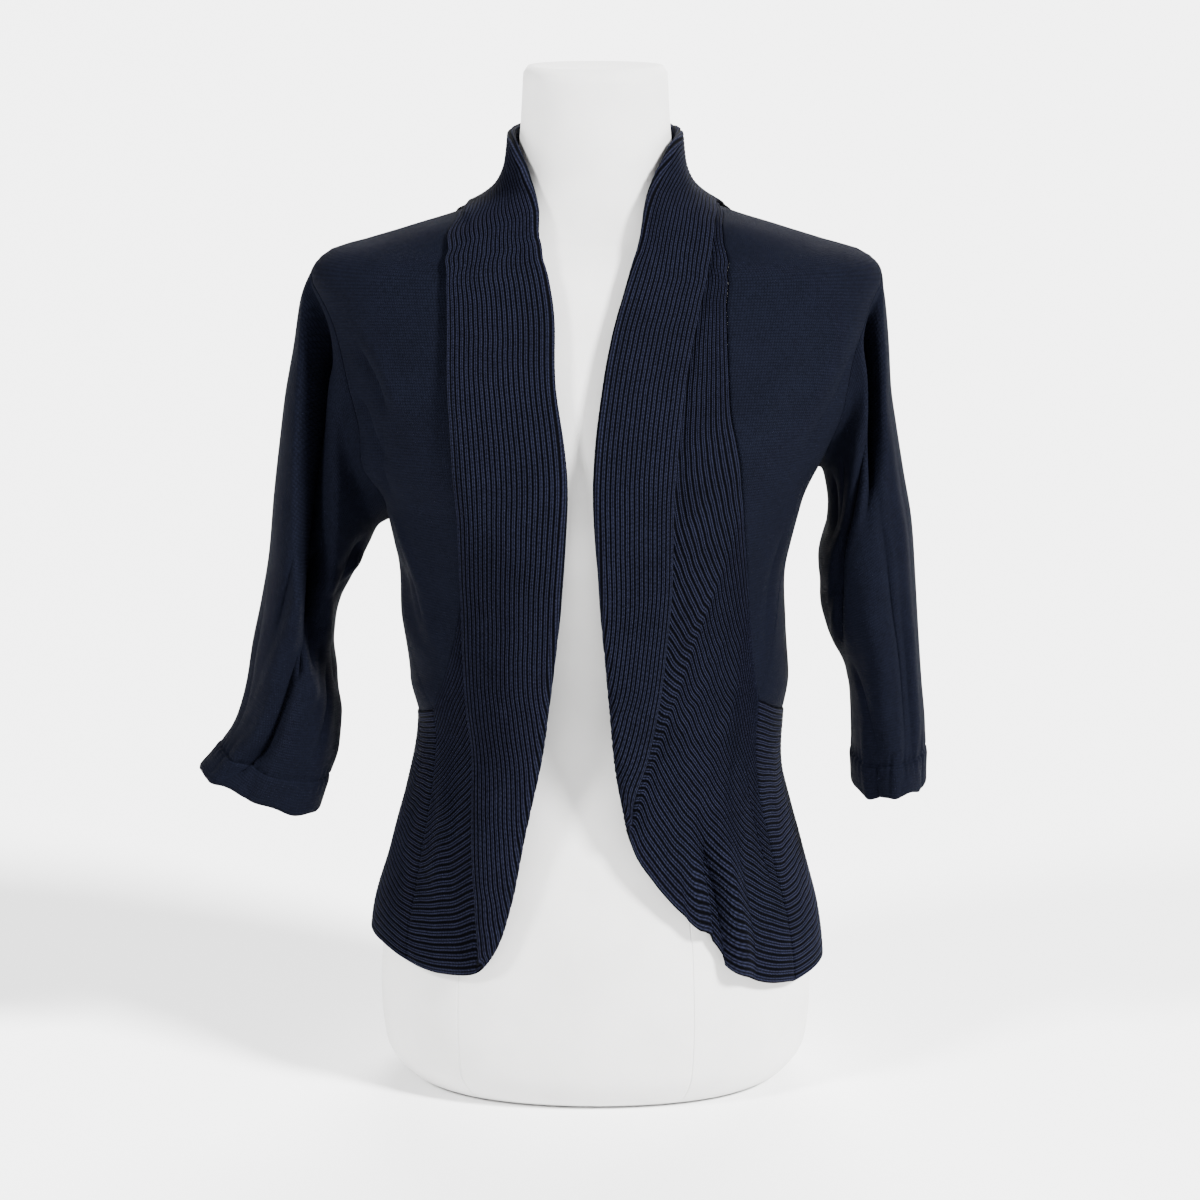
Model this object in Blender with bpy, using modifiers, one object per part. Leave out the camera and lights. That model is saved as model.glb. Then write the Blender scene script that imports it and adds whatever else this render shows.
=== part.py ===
"""Open-front knit cardigan on a limbless dress form.

The garment is a cropped cardigan in fine plain knit with three-quarter sleeves.
A broad rib-knit band of forty ribs runs from the back of the neck down both fronts,
where it is folded back as a shawl collar and lapel, and round the hem.
The form is a smooth torso with a neck and a flat base, and it stands on that base.

Lengths in the tables are millimetres. The object is made in metres, +Z up, with its
front facing -Y and the middle of the form's base at the origin.
A place on the body is given by an angle and a height on the form. The angle is 0 at the
centre front, 90 at +X (the wearer's left), 180 at the centre back and -90 or 270 at -X.
"""

import math

import bpy
import numpy as np

MM = 0.001

# Cloth
KNIT_THICKNESS = 1.5
BAND_THICKNESS = 2.2
RIB_COUNT = 40
RIB_HEIGHT = 0.9
FOLD_GAP = 2.8
SEAM_GAP = 0.36

# Mesh density
FORM_COLUMNS = 24
FRONT_PANEL_COLUMNS = 4
BACK_COLUMNS = 12
COLLAR_ROWS = 6
CLOSER_AT_SIDES = 0.05
PLAIN_COLUMN_RIBS = 4
FOLD_STEPS = 4
STAND_OFF_REACH = 62.0

# Body of the form: a general figure.
# height, half width, depth to the front, depth to the back
FORM_SECTIONS = (
    (0.0, 130.0, 86.0, 92.0),
    (6.0, 141.0, 95.0, 102.0),
    (28.0, 155.0, 105.0, 114.0),
    (65.0, 158.0, 107.0, 119.0),
    (120.0, 154.0, 105.0, 118.5),
    (170.0, 142.0, 98.5, 111.0),
    (220.0, 128.5, 90.0, 99.0),
    (265.0, 119.0, 84.0, 88.0),
    (300.0, 116.0, 83.0, 83.0),
    (345.0, 121.0, 91.0, 86.0),
    (390.0, 131.0, 107.0, 91.0),
    (430.0, 140.0, 118.0, 96.0),
    (470.0, 149.0, 117.0, 100.0),
    (510.0, 160.0, 106.0, 101.0),
    (545.0, 173.0, 90.0, 96.0),
    (572.0, 184.0, 74.0, 87.0),
    (588.0, 188.0, 64.0, 79.0),
    (598.0, 182.0, 58.0, 74.0),
    (607.0, 163.0, 54.0, 70.0),
    (618.0, 132.0, 51.0, 66.0),
    (631.0, 92.0, 50.0, 61.0),
    (640.0, 74.0, 50.0, 58.0),
    (652.0, 61.5, 50.0, 55.0),
    (668.0, 55.0, 50.0, 52.5),
    (690.0, 52.5, 49.5, 51.0),
    (714.0, 51.0, 49.0, 50.0),
    (731.0, 50.0, 48.0, 49.0),
    (735.0, 47.0, 45.0, 46.0),
)

# How far the inside of the cloth lies off the form.
# height, at the right side (-X), at the left side (+X), at the front, at the back
EASE = (
    (60.0, 4.5, 4.5, 3.6, 4.6),
    (120.0, 5.0, 6.0, 4.4, 4.8),
    (170.0, 5.0, 6.0, 8.5, 7.0),
    (220.0, 5.0, 6.0, 14.0, 12.0),
    (265.0, 7.0, 14.0, 19.0, 15.0),
    (300.0, 16.5, 22.0, 22.0, 15.0),
    (345.0, 17.0, 14.5, 17.0, 10.0),
    (390.0, 9.5, 5.2, 9.0, 6.0),
    (430.0, 9.0, 6.0, 4.0, 4.2),
    (470.0, 22.0, 15.0, 3.4, 3.4),
    (510.0, 21.0, 24.0, 4.0, 3.0),
    (545.0, 15.0, 19.0, 4.0, 2.6),
    (572.0, 11.0, 14.0, 3.6, 5.0),
    (588.0, 11.0, 13.0, 4.0, 7.0),
    (598.0, 8.5, 8.5, 3.6, 6.0),
    (607.0, 5.0, 4.6, 3.0, 3.6),
    (618.0, 3.2, 3.2, 2.6, 2.9),
    (640.0, 2.6, 2.6, 2.4, 2.6),
    (735.0, 1.8, 1.8, 2.0, 1.8),
)

# Soft folds in the cloth over the body: angle and height of the top, angle and height
# of the foot, half width in degrees, height (a trough is negative).
BODY_FOLDS = (
    (31.0, 235.0, 29.0, 96.0, 5.0, -3.2),
    (38.0, 240.0, 36.0, 90.0, 5.0, 2.6),
    (-60.0, 545.0, -66.0, 470.0, 6.0, -3.6),
    (-55.0, 520.0, -74.0, 440.0, 6.0, 2.4),
    (70.0, 585.0, 55.0, 500.0, 7.0, 3.0),
    (60.0, 560.0, 47.0, 480.0, 6.0, -2.4),
    (-80.0, 400.0, -62.0, 330.0, 6.0, -3.0),
    (150.0, 420.0, 158.0, 300.0, 9.0, 4.0),
    (205.0, 410.0, 198.0, 290.0, 9.0, 3.4),
    (118.0, 470.0, 128.0, 380.0, 8.0, 3.0),
    (244.0, 480.0, 234.0, 380.0, 8.0, 3.0),
)

# Side seams, from the top of the ribbed hem up to the armpit: height, angle.
SIDE_SEAM = {
    "left": ((296.0, 55.0), (326.0, 62.0), (360.0, 70.0), (410.0, 80.0), (456.0, 90.0)),
    "right": ((286.0, -58.5), (305.0, -66.0), (330.0, -74.0), (366.0, -83.0), (418.0, -90.0)),
}

# Armholes: height, angle of the front edge, angle of the back edge.
ARMHOLE = {
    "left": (
        (456.0, 90.0, 90.0),
        (473.0, 79.0, 101.0),
        (489.0, 75.0, 106.0),
        (518.0, 71.5, 111.0),
        (555.0, 72.0, 110.5),
        (580.0, 77.0, 105.0),
        (592.0, 90.0, 90.0),
    ),
    "right": (
        (418.0, -90.0, -90.0),
        (436.0, -79.0, -101.0),
        (457.0, -74.5, -106.0),
        (505.0, -70.5, -111.0),
        (555.0, -71.5, -110.0),
        (580.0, -77.0, -105.0),
        (592.0, -90.0, -90.0),
    ),
}
SHOULDER_HEIGHT = 592.0

# The folded band from the centre back neck, over the shoulder, down the front and round
# the hem to the side seam. Each row crosses the band: angle and height of its seam, of its
# fold and of its free edge, ribs folded back and how far the fold stands off. A front row
# ends with the number of steps to the next row.
COLLAR_STATIONS = {
    "left": (
        (180.0, 624.0, 180.0, 697.0, 180.0, 616.0, 21.0, 1.5),
        (135.0, 628.0, 135.0, 696.0, 135.0, 621.0, 20.5, 1.5),
        (90.0, 634.0, 88.0, 692.0, 90.0, 636.5, 19.0, 1.8),
    ),
    "right": (
        (-180.0, 624.0, -180.0, 697.0, -180.0, 616.0, 21.0, 1.5),
        (-135.0, 628.0, -135.0, 696.0, -135.0, 621.0, 21.0, 1.5),
        (-90.0, 634.0, -88.0, 692.0, -92.0, 632.0, 21.0, 1.8),
    ),
}
FRONT_STATIONS = {
    "left": (
        (78.0, 632.5, 65.0, 687.0, 75.0, 635.5, 18.5, 2.4, 1),
        (62.0, 629.0, 48.5, 675.0, 59.5, 630.5, 18.0, 3.5, 1),
        (48.1, 624.0, 34.5, 657.0, 43.5, 624.0, 17.5, 4.5, 1),
        (35.0, 613.0, 24.2, 640.0, 31.1, 613.0, 17.5, 5.0, 1),
        (27.2, 592.0, 12.3, 617.0, 23.4, 596.0, 17.5, 5.0, 1),
        (27.1, 578.0, 7.4, 597.0, 21.8, 580.0, 17.3, 4.7, 1),
        (27.8, 564.0, 5.2, 574.0, 21.2, 562.0, 17.0, 4.5, 1),
        (30.2, 531.0, 2.1, 528.0, 20.2, 524.0, 17.0, 4.0, 2),
        (32.4, 504.0, -0.1, 458.0, 19.7, 461.0, 17.0, 4.2, 2),
        (35.0, 487.0, 1.9, 385.0, 20.7, 390.0, 16.5, 5.0, 2),
        (37.4, 472.0, 4.3, 322.0, 19.0, 320.0, 13.5, 6.0, 1),
        (39.4, 456.0, 6.1, 266.0, 15.0, 266.0, 8.5, 5.0, 1),
        (41.0, 445.0, 8.0, 226.0, 9.9, 223.0, 4.2, 3.5, 3),
        (42.7, 431.0, 10.0, 197.0, 10.0, 197.0, 0.0, 3.0, 1),
        (44.5, 417.0, 15.3, 173.0, 15.3, 173.0, 0.0, 3.0, 1),
        (47.0, 398.0, 22.4, 149.0, 22.4, 149.0, 0.0, 3.0, 1),
        (49.8, 376.0, 30.5, 128.0, 30.5, 128.0, 0.0, 2.4, 1),
        (51.5, 352.0, 36.6, 105.0, 36.6, 105.0, 0.0, 2.4, 1),
        (53.0, 326.0, 47.0, 92.0, 47.0, 92.0, 0.0, 2.0, 1),
        (55.0, 296.0, 58.5, 87.0, 58.5, 87.0, 0.0, 2.0, 0),
    ),
    "right": (
        (-78.0, 632.5, -70.0, 687.0, -80.0, 630.5, 21.0, 2.4, 1),
        (-63.0, 629.0, -53.0, 674.0, -62.0, 626.0, 21.0, 3.5, 1),
        (-49.5, 624.0, -40.0, 657.0, -46.5, 617.0, 21.0, 4.5, 1),
        (-35.0, 612.0, -25.3, 635.0, -35.0, 605.0, 21.0, 5.0, 1),
        (-27.9, 592.0, -13.0, 610.0, -30.8, 588.0, 21.0, 5.0, 1),
        (-27.8, 578.0, -9.0, 586.0, -31.3, 572.0, 21.0, 4.7, 1),
        (-28.5, 564.0, -8.3, 562.0, -32.3, 555.0, 21.0, 4.5, 1),
        (-30.8, 531.0, -8.8, 525.0, -34.4, 520.0, 21.0, 4.0, 2),
        (-32.4, 504.0, -7.1, 464.0, -36.2, 460.0, 21.2, 4.2, 2),
        (-33.6, 479.0, -9.4, 392.0, -39.2, 385.0, 21.5, 5.5, 2),
        (-34.8, 457.0, -12.8, 328.0, -40.4, 317.0, 20.5, 7.0, 1),
        (-36.2, 436.0, -16.1, 262.0, -37.6, 254.0, 16.5, 7.0, 1),
        (-37.4, 418.0, -20.1, 203.0, -34.6, 197.0, 12.5, 6.0, 1),
        (-38.8, 398.0, -22.4, 158.0, -31.3, 154.0, 9.0, 4.5, 1),
        (-40.0, 382.0, -25.9, 121.0, -29.2, 119.5, 4.6, 3.0, 3),
        (-41.7, 366.0, -31.0, 104.5, -31.0, 104.5, 0.0, 2.5, 1),
        (-44.7, 345.0, -37.0, 102.0, -37.0, 102.0, 0.0, 2.4, 1),
        (-48.5, 326.0, -42.5, 101.5, -42.5, 101.5, 0.0, 2.2, 1),
        (-53.0, 305.0, -48.0, 102.5, -48.0, 102.5, 0.0, 2.0, 1),
        (-58.5, 286.0, -54.0, 104.5, -54.0, 104.5, 0.0, 2.0, 0),
    ),
}

# Ribbed hem round the back, from the left side seam to the right one: angle and height of
# the top, angle and height of the lower edge.
BACK_HEM = (
    (55.0, 296.0, 58.5, 87.0),
    (69.0, 283.0, 73.0, 88.0),
    (88.0, 274.0, 91.0, 87.0),
    (120.0, 269.0, 121.0, 92.0),
    (180.0, 268.0, 180.0, 99.0),
    (240.0, 270.0, 239.0, 103.0),
    (268.0, 273.0, 270.0, 108.0),
    (286.0, 278.0, 289.0, 109.0),
    (301.5, 286.0, 306.0, 104.5),
)
# At the right side seam the ribs of the back rise towards the seam by this much.
BACK_RIB_RISE = 8.0
BACK_RIB_RISE_DEG = 22.0

# Sleeves, a row for each ring below the armhole: x and z of its outer point, x and z of
# its inner point, half its depth, y of its middle.
SLEEVE_RINGS = {
    "left": (
        (203.7, 570.0, 163.0, 450.0, 47.0, 8.0),
        (206.5, 541.0, 166.5, 437.0, 52.0, 8.0),
        (208.6, 510.0, 168.2, 423.0, 54.0, 7.0),
        (212.5, 484.0, 167.3, 408.0, 55.0, 6.0),
        (218.3, 450.0, 161.6, 385.0, 56.0, 4.0),
        (225.0, 412.0, 164.0, 362.0, 57.0, 2.0),
        (228.2, 372.0, 170.6, 336.0, 56.0, 0.0),
        (230.7, 335.0, 180.6, 311.0, 55.0, -3.0),
        (233.4, 300.0, 184.9, 285.0, 54.0, -6.0),
        (236.4, 267.0, 186.2, 258.0, 53.0, -9.0),
        (237.0, 243.0, 186.8, 238.0, 52.0, -11.0),
        (237.0, 226.0, 187.4, 222.0, 51.0, -13.0),
    ),
    "right": (
        (-207.1, 572.0, -157.6, 408.0, 47.0, 8.0),
        (-212.9, 538.0, -163.7, 396.0, 52.0, 8.0),
        (-219.4, 503.0, -169.9, 384.0, 55.0, 7.0),
        (-224.1, 468.0, -177.7, 370.0, 56.0, 6.0),
        (-228.7, 430.0, -184.9, 356.0, 57.0, 4.0),
        (-232.3, 393.0, -188.9, 340.0, 57.0, 2.0),
        (-238.6, 357.0, -190.4, 321.0, 55.0, 0.0),
        (-245.6, 325.0, -188.0, 300.0, 53.0, -2.0),
        (-250.8, 295.0, -187.4, 279.0, 49.0, -4.0),
        (-259.4, 267.0, -189.6, 250.0, 45.0, -6.0),
        (-271.8, 248.0, -195.8, 224.0, 42.0, -8.0),
        (-285.5, 233.0, -203.0, 201.0, 40.0, -10.0),
    ),
}

# Long soft folds in the sleeves: ring of the top, ring of the foot, place round the ring
# at the top and the foot (0 outer, 90 front, 180 inner), half width, height.
SLEEVE_FOLDS = {
    "left": (
        (1.5, 9.5, 120.0, 128.0, 17.0, -6.0),
        (4.0, 10.5, 88.0, 96.0, 17.0, 4.0),
        (6.0, 11.0, 55.0, 60.0, 14.0, -3.0),
        (3.0, 9.0, 235.0, 228.0, 16.0, -4.0),
    ),
    "right": (
        (1.0, 7.0, 62.0, 70.0, 17.0, -7.0),
        (1.5, 8.0, 30.0, 35.0, 16.0, 4.0),
        (6.0, 11.0, 120.0, 62.0, 16.0, -5.0),
        (3.0, 9.0, 300.0, 290.0, 16.0, -4.0),
    ),
}

# Colours, roughness
KNIT_COLOUR = (0.0117, 0.0142, 0.0305, 1.0)
RIB_COLOUR = (0.0125, 0.0155, 0.0350, 1.0)
COVER_COLOUR = (0.78, 0.77, 0.75, 1.0)


def smooth(keys, values, at):
    """Values at new keys, on a smooth curve through the given rows that never overshoots them."""
    keys = np.asarray(keys, float)
    rows = np.asarray(values, float).reshape(len(keys), -1)
    at = np.asarray(at, float)
    step = np.diff(keys)[:, None]
    slope = np.diff(rows, axis=0) / step
    tangent = np.zeros_like(rows)
    tangent[0], tangent[-1] = slope[0], slope[-1]
    before, after = slope[:-1], slope[1:]
    same_way = before * after > 0
    mean = 2 * before * after / np.where(same_way, before + after, 1.0)
    tangent[1:-1] = np.where(same_way, mean, 0.0)
    flat = np.clip(at.ravel(), keys[0], keys[-1])
    i = np.clip(np.searchsorted(keys, flat, side="right") - 1, 0, len(keys) - 2)
    h = step[i]
    u = (flat[:, None] - keys[i][:, None]) / h
    result = (
        (1 + 2 * u) * (1 - u) ** 2 * rows[i]
        + u * (1 - u) ** 2 * h * tangent[i]
        + u * u * (3 - 2 * u) * rows[i + 1]
        + u * u * (u - 1) * h * tangent[i + 1]
    )
    return result.reshape(at.shape + (rows.shape[1],))


def smoothstep(x):
    """0 below 0, 1 above 1, and a soft step between."""
    x = np.clip(x, 0.0, 1.0)
    return x * x * (3 - 2 * x)


FORM_TABLE = np.array(FORM_SECTIONS)
# Run: the length along the form's side profile from its base, which places the sections
# evenly over the shoulders, where the height hardly changes.
FORM_RUN = np.concatenate(
    [[0.0], np.cumsum(np.hypot(np.diff(FORM_TABLE[:, 0]), np.diff(FORM_TABLE[:, 1])))]
)
EASE_TABLE = np.array(EASE)
SQUARENESS = 0.06


def run_at(height):
    """The run of a height."""
    fine = np.linspace(0.0, FORM_RUN[-1], 4000)
    return np.interp(height, smooth(FORM_RUN, FORM_TABLE[:, 0], fine)[:, 0], fine)


def form_points(angle, run):
    """Points of the form's surface: at each run a section that is an ellipse, a little squared."""
    angle, run = np.broadcast_arrays(np.asarray(angle, float), np.asarray(run, float))
    height, width, front, back = np.moveaxis(smooth(FORM_RUN, FORM_TABLE, run), -1, 0)
    s, c = np.sin(np.radians(angle)), np.cos(np.radians(angle))
    depth = np.where(c > 0, front, back)
    x = width * s * (1 + SQUARENESS * c * c)
    y = -depth * c * (1 + SQUARENESS * s * s)
    return np.stack([x, y, height], axis=-1)


def normals(surface, angle, run):
    """Outward unit normals of a surface of angle and run."""
    da, dr = 0.25, 0.5
    along = surface(angle + da, run) - surface(angle - da, run)
    up = surface(angle, np.minimum(run + dr, FORM_RUN[-1])) - surface(angle, np.maximum(run - dr, 0.0))
    n = np.cross(along, up)
    return n / np.linalg.norm(n, axis=-1, keepdims=True)


def body_folds(angle, height):
    """Height of the soft folds: each is a bump across a line from its top to its foot."""
    total = np.zeros_like(angle)
    for top_angle, top, foot_angle, foot, half_width, rise in BODY_FOLDS:
        along = (height - foot) / (top - foot)
        centre = foot_angle + (top_angle - foot_angle) * along
        off = (angle - centre + 180.0) % 360.0 - 180.0
        across = 1 - smoothstep(np.abs(off) / (1.8 * half_width))
        ends = smoothstep(along / 0.35 + 0.35) * smoothstep((1 - along) / 0.35)
        total += rise * across * ends
    return total


def lay_points(angle, run):
    """Points of the inside of the cloth: the form's surface moved out by the ease."""
    angle, run = np.broadcast_arrays(np.asarray(angle, float), np.asarray(run, float))
    height = smooth(FORM_RUN, FORM_TABLE[:, 0], run)[..., 0]
    right, left, front, back = np.moveaxis(smooth(EASE_TABLE[:, 0], EASE_TABLE[:, 1:], height), -1, 0)
    s, c = np.sin(np.radians(angle)), np.cos(np.radians(angle))
    ease = np.where(c > 0, front, back) * c * c + np.where(s > 0, left, right) * s * s
    ease = np.maximum(ease + body_folds(angle, height), np.minimum(ease, 2.0))
    return form_points(angle, run) + normals(form_points, angle, run) * ease[..., None]


def cloth_points(angle, run, lift):
    """Points above the inside of the cloth by a lift, along the cloth's normal."""
    angle, run, lift = np.broadcast_arrays(
        np.asarray(angle, float), np.asarray(run, float), np.asarray(lift, float)
    )
    return lay_points(angle, run) + normals(lay_points, angle, run) * lift[..., None]


def seam_step(angle, height, distance=SEAM_GAP / 2):
    """Degrees that make a distance along the cloth at a place on the body."""
    place = lay_points(float(angle), float(run_at(height)))
    return math.degrees(distance / math.hypot(place[0], place[1]))


class FoldLine:
    """The line a band is folded on, which stands off the body and carries both layers.

    The cloth rises towards the line over a reach, so two layers near it stay parallel.
    """

    def __init__(self, rows):
        self.places = np.array([lay_points(*row.fold) for row in rows])
        self.heights = np.array([row.stand_off for row in rows])

    def lift(self, angle, run):
        """How far the inside of the under layer stands off at places on the body."""
        points = lay_points(angle, run)
        start, along = self.places[:-1], np.diff(self.places, axis=0)
        to_point = points[:, None] - start
        share = (to_point * along).sum(-1) / (along * along).sum(-1)
        share = np.clip(share, 0.0, 1.0)
        away = np.linalg.norm(to_point - share[..., None] * along, axis=-1)
        nearest = away.argmin(axis=1)
        pick = np.arange(len(points))
        share, away = share[pick, nearest], away[pick, nearest]
        height = self.heights[nearest] + share * np.diff(self.heights)[nearest]
        return height * (1 - smoothstep(away / STAND_OFF_REACH))


class BandRow:
    """One row across a folded band, from its seam, over its fold, to its free edge."""

    def __init__(self, values):
        seam_angle, seam_height, fold_angle, fold_height = values[:4]
        edge_angle, edge_height, folded, stand_off = values[4:8]
        self.seam = np.array([seam_angle, run_at(seam_height)])
        self.seam_height = seam_height
        self.fold = np.array([fold_angle, run_at(fold_height)])
        self.edge = np.array([edge_angle, run_at(edge_height)])
        self.folded = max(folded, 0.0)
        self.stand_off = stand_off

    def moved(self, degrees):
        """The same row with its seam, fold and edge turned round the body."""
        for place in (self.seam, self.fold, self.edge):
            place[0] += degrees
        return self


def stations(table, steps):
    """Rows of a table with more rows between them, on a smooth curve over the row number."""
    table = np.array(table, float)
    at = [i + k / n for i, n in enumerate(steps) for k in range(int(n))]
    at.append(len(table) - 1.0)
    return smooth(np.arange(len(table)), table, np.array(at))


def front_rows(side, between=False):
    """The rows of a band down the front, from the shoulder to the side seam.

    The panels and sleeves use the rows of the table. The band has more between them.
    """
    table = FRONT_STATIONS[side]
    steps = [row[8] if between else 1 for row in table[:-1]]
    return [BandRow(row) for row in stations([row[:8] for row in table], steps)]


def collar_rows(side):
    """The rows of a band round the neck, from the centre back to the shoulder."""
    table = COLLAR_STATIONS[side]
    rows = stations(table, [COLLAR_ROWS // 2] * 2)
    return [BandRow(row) for row in rows]


def zip_rows(first, second, flip):
    """Faces between two rows of (place, vertex), joined in the order of their places."""
    faces = []
    i, j = 0, 0
    while i < len(first) - 1 or j < len(second) - 1:
        next_i = first[i + 1][0] if i < len(first) - 1 else math.inf
        next_j = second[j + 1][0] if j < len(second) - 1 else math.inf
        a, b = first[i][1], second[j][1]
        if abs(next_i - next_j) < 1e-6:
            face = (a, first[i + 1][1], second[j + 1][1], b)
            i, j = i + 1, j + 1
        elif next_i < next_j:
            face = (a, first[i + 1][1], b)
            i += 1
        else:
            face = (a, second[j + 1][1], b)
            j += 1
        faces.append(face[::-1] if flip else face)
    return faces


FOLD_RADIUS = (FOLD_GAP + BAND_THICKNESS) / 2


def row_columns(row, pitch):
    """Rib places of the columns of a row in its three parts, and the ribs round its fold.

    They are the under layer up to the fold, the fold itself, and the part folded back. The
    number of columns round the fold is always the same, so ribs run out at the fold.
    """
    start = RIB_COUNT - row.folded
    arc = min(row.folded * pitch, math.pi * FOLD_RADIUS) / pitch
    half_ribs = np.arange(0, RIB_COUNT + 0.25, 0.5)
    if row.folded <= 0.0:
        return half_ribs, np.zeros(0), np.zeros(0)
    under = half_ribs[half_ribs < start - 0.15]
    back = half_ribs[half_ribs > start + arc + 0.15]
    return under, start + arc * np.linspace(0, 1, FOLD_STEPS + 1), back


def row_points(row, line, outward, pitch, places, relief, face):
    """Points of one face of a band row at the given rib places.

    The face is +1 for the outside of the under layer and -1 for its inside, which is
    the outside of the folded part. Up to the fold a point lies on the body, over the fold it
    goes round an arc, and beyond the fold it lies back over the under layer.
    """
    start = RIB_COUNT - row.folded
    arc = min(row.folded * pitch, math.pi * FOLD_RADIUS) / pitch
    turn_back = FOLD_GAP / 2 + BAND_THICKNESS
    length = np.linalg.norm(np.subtract(*lay_points(*np.array([row.seam, row.fold]).T)))
    inset = min(turn_back / length, 0.5) * min(1.0, row.folded * pitch / turn_back)
    fold = row.fold + (row.seam - row.fold) * inset
    normal = normals(lay_points, fold[0], fold[1])
    outward = unit(outward - normal * (outward @ normal))
    half = BAND_THICKNESS / 2
    points = np.zeros((len(places), 3))

    flat = places <= start
    place = row.seam + (fold - row.seam) * (places[flat] / start)[:, None]
    lift = line.lift(place[:, 0], place[:, 1])
    lift = lift + (BAND_THICKNESS + relief[flat] if face > 0 else 0.0)
    points[flat] = cloth_points(place[:, 0], place[:, 1], lift)

    bend = (places > start) & (places <= start + arc + 1e-6)
    turn = (places[bend] - start) * pitch / FOLD_RADIUS
    radius = FOLD_RADIUS - face * half + (relief[bend] if face < 0 else 0.0)
    rise = line.lift(*fold[:, None])[0]
    centre = lay_points(*fold) + normal * (rise + half + FOLD_RADIUS)
    ahead = np.sin(turn)[:, None] * outward - np.cos(turn)[:, None] * normal
    points[bend] = centre + np.broadcast_to(radius, turn.shape)[:, None] * ahead

    back = places > start + arc + 1e-6
    s = (places[back] - start - arc) / max(RIB_COUNT - start - arc, 1e-6)
    place = fold + (row.edge - fold) * s[:, None]
    lift = line.lift(place[:, 0], place[:, 1]) + BAND_THICKNESS + FOLD_GAP
    lift = lift + (0.0 if face > 0 else BAND_THICKNESS + relief[back])
    points[back] = cloth_points(place[:, 0], place[:, 1], lift)
    return points


def band_mesh(rows):
    """Vertices and faces of a folded band.

    The ribs are raised where they show: on the outside of the under layer up to where the
    folded part covers it, and on the outside of the folded part. Hidden faces are plain, and
    have a column for each rib only at the two ends.
    """
    folds = np.array([lay_points(*row.fold) for row in rows])
    seams = np.array([lay_points(*row.seam) for row in rows])
    tangents = np.gradient(folds, axis=0)
    line = FoldLine(rows)
    vertices = []
    outer, inner = [], []
    for i, row in enumerate(rows):
        start = RIB_COUNT - row.folded
        outward = np.cross(tangents[i], normals(lay_points, *row.fold))
        outward = unit(outward * np.sign(outward @ (folds[i] - seams[i])))
        lapel = np.linalg.norm(lay_points(*row.edge) - folds[i])
        pitch = (lapel + 1.5 * FOLD_RADIUS) / row.folded if row.folded > 5.0 else 3.5
        covered = start - row.folded
        for face, store in ((1, outer), (-1, inner)):
            under, bend, back = row_columns(row, pitch)
            if face > 0:
                shown = under <= covered + 1.6
                if covered < 1.0:
                    shown[:] = False
                under_shown, back_shown = shown, np.zeros(len(back), bool)
            else:
                under_shown, back_shown = np.zeros(len(under), bool), np.ones(len(back), bool)
            columns = []
            for part, shown in ((under, under_shown), (back, back_shown)):
                ends = (part == 0) | (part == RIB_COUNT)
                keep = shown | ends | (part % PLAIN_COLUMN_RIBS == 0)
                if i in (0, len(rows) - 1):
                    keep |= part % 1 == 0
                raised = RIB_HEIGHT * (shown & (part % 1 == 0.5))
                columns.append((part[keep], raised[keep]))
            (under, under_raised), (back, back_raised) = columns
            places = np.concatenate([under, bend, back])
            relief = np.concatenate([under_raised, np.full(len(bend), RIB_HEIGHT / 2), back_raised])
            order = np.concatenate([under, 100.0 + np.arange(len(bend)), 200.0 + back])
            points = row_points(row, line, outward, pitch, places, relief, face)
            store.append([(q, len(vertices) + k) for k, q in enumerate(order)])
            vertices.extend(points)
    return vertices, close_rows(outer, inner)


def close_rows(outer, inner):
    """Faces of a closed wall from its outer rows and inner rows."""
    faces = []
    for i in range(len(outer) - 1):
        faces += zip_rows(outer[i], outer[i + 1], False)
        faces += zip_rows(inner[i], inner[i + 1], True)
        for end in (0, -1):
            face = (outer[i][end][1], outer[i + 1][end][1], inner[i + 1][end][1], inner[i][end][1])
            faces.append(face if end == 0 else face[::-1])
    faces += zip_rows(outer[0], inner[0], True)
    faces += zip_rows(outer[-1], inner[-1], False)
    return faces


def side_angle(side, height, edge="front"):
    """Angle of the edge of a front or of the back at a height, by the seam that is there."""
    armpit = ARMHOLE[side][0][0]
    sign = 1.0 if side == "left" else -1.0
    if height >= SHOULDER_HEIGHT - 1e-6:
        return 90.0 * sign
    if height > armpit + 1e-6:
        table = np.array(ARMHOLE[side])
        column = 1 if edge == "front" else 2
        return float(smooth(table[:, 0], table[:, column], height)[..., 0])
    table = np.array(SIDE_SEAM[side])
    return float(smooth(table[:, 0], table[:, 1], height)[..., 0])


def grid_faces(rows, columns, closed=False):
    """Quads of a grid of points kept row by row."""
    wrap = columns if closed else columns - 1
    return [
        (i * columns + j, i * columns + (j + 1) % columns,
         (i + 1) * columns + (j + 1) % columns, (i + 1) * columns + j)
        for i in range(rows - 1)
        for j in range(wrap)
    ]


def beside(line, distance):
    """A line of (angle, run) places moved sideways over the cloth, to its right if positive."""
    places = lay_points(line[:, 0], line[:, 1])
    radius = np.radians(np.hypot(places[:, 0], places[:, 1]))
    flat = np.stack([line[:, 0] * radius, line[:, 1]], axis=-1)
    ahead = unit(np.gradient(flat, axis=0))
    moved = line.copy()
    moved[:, 0] += ahead[:, 1] * distance / radius
    moved[:, 1] -= ahead[:, 0] * distance
    return moved


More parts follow.
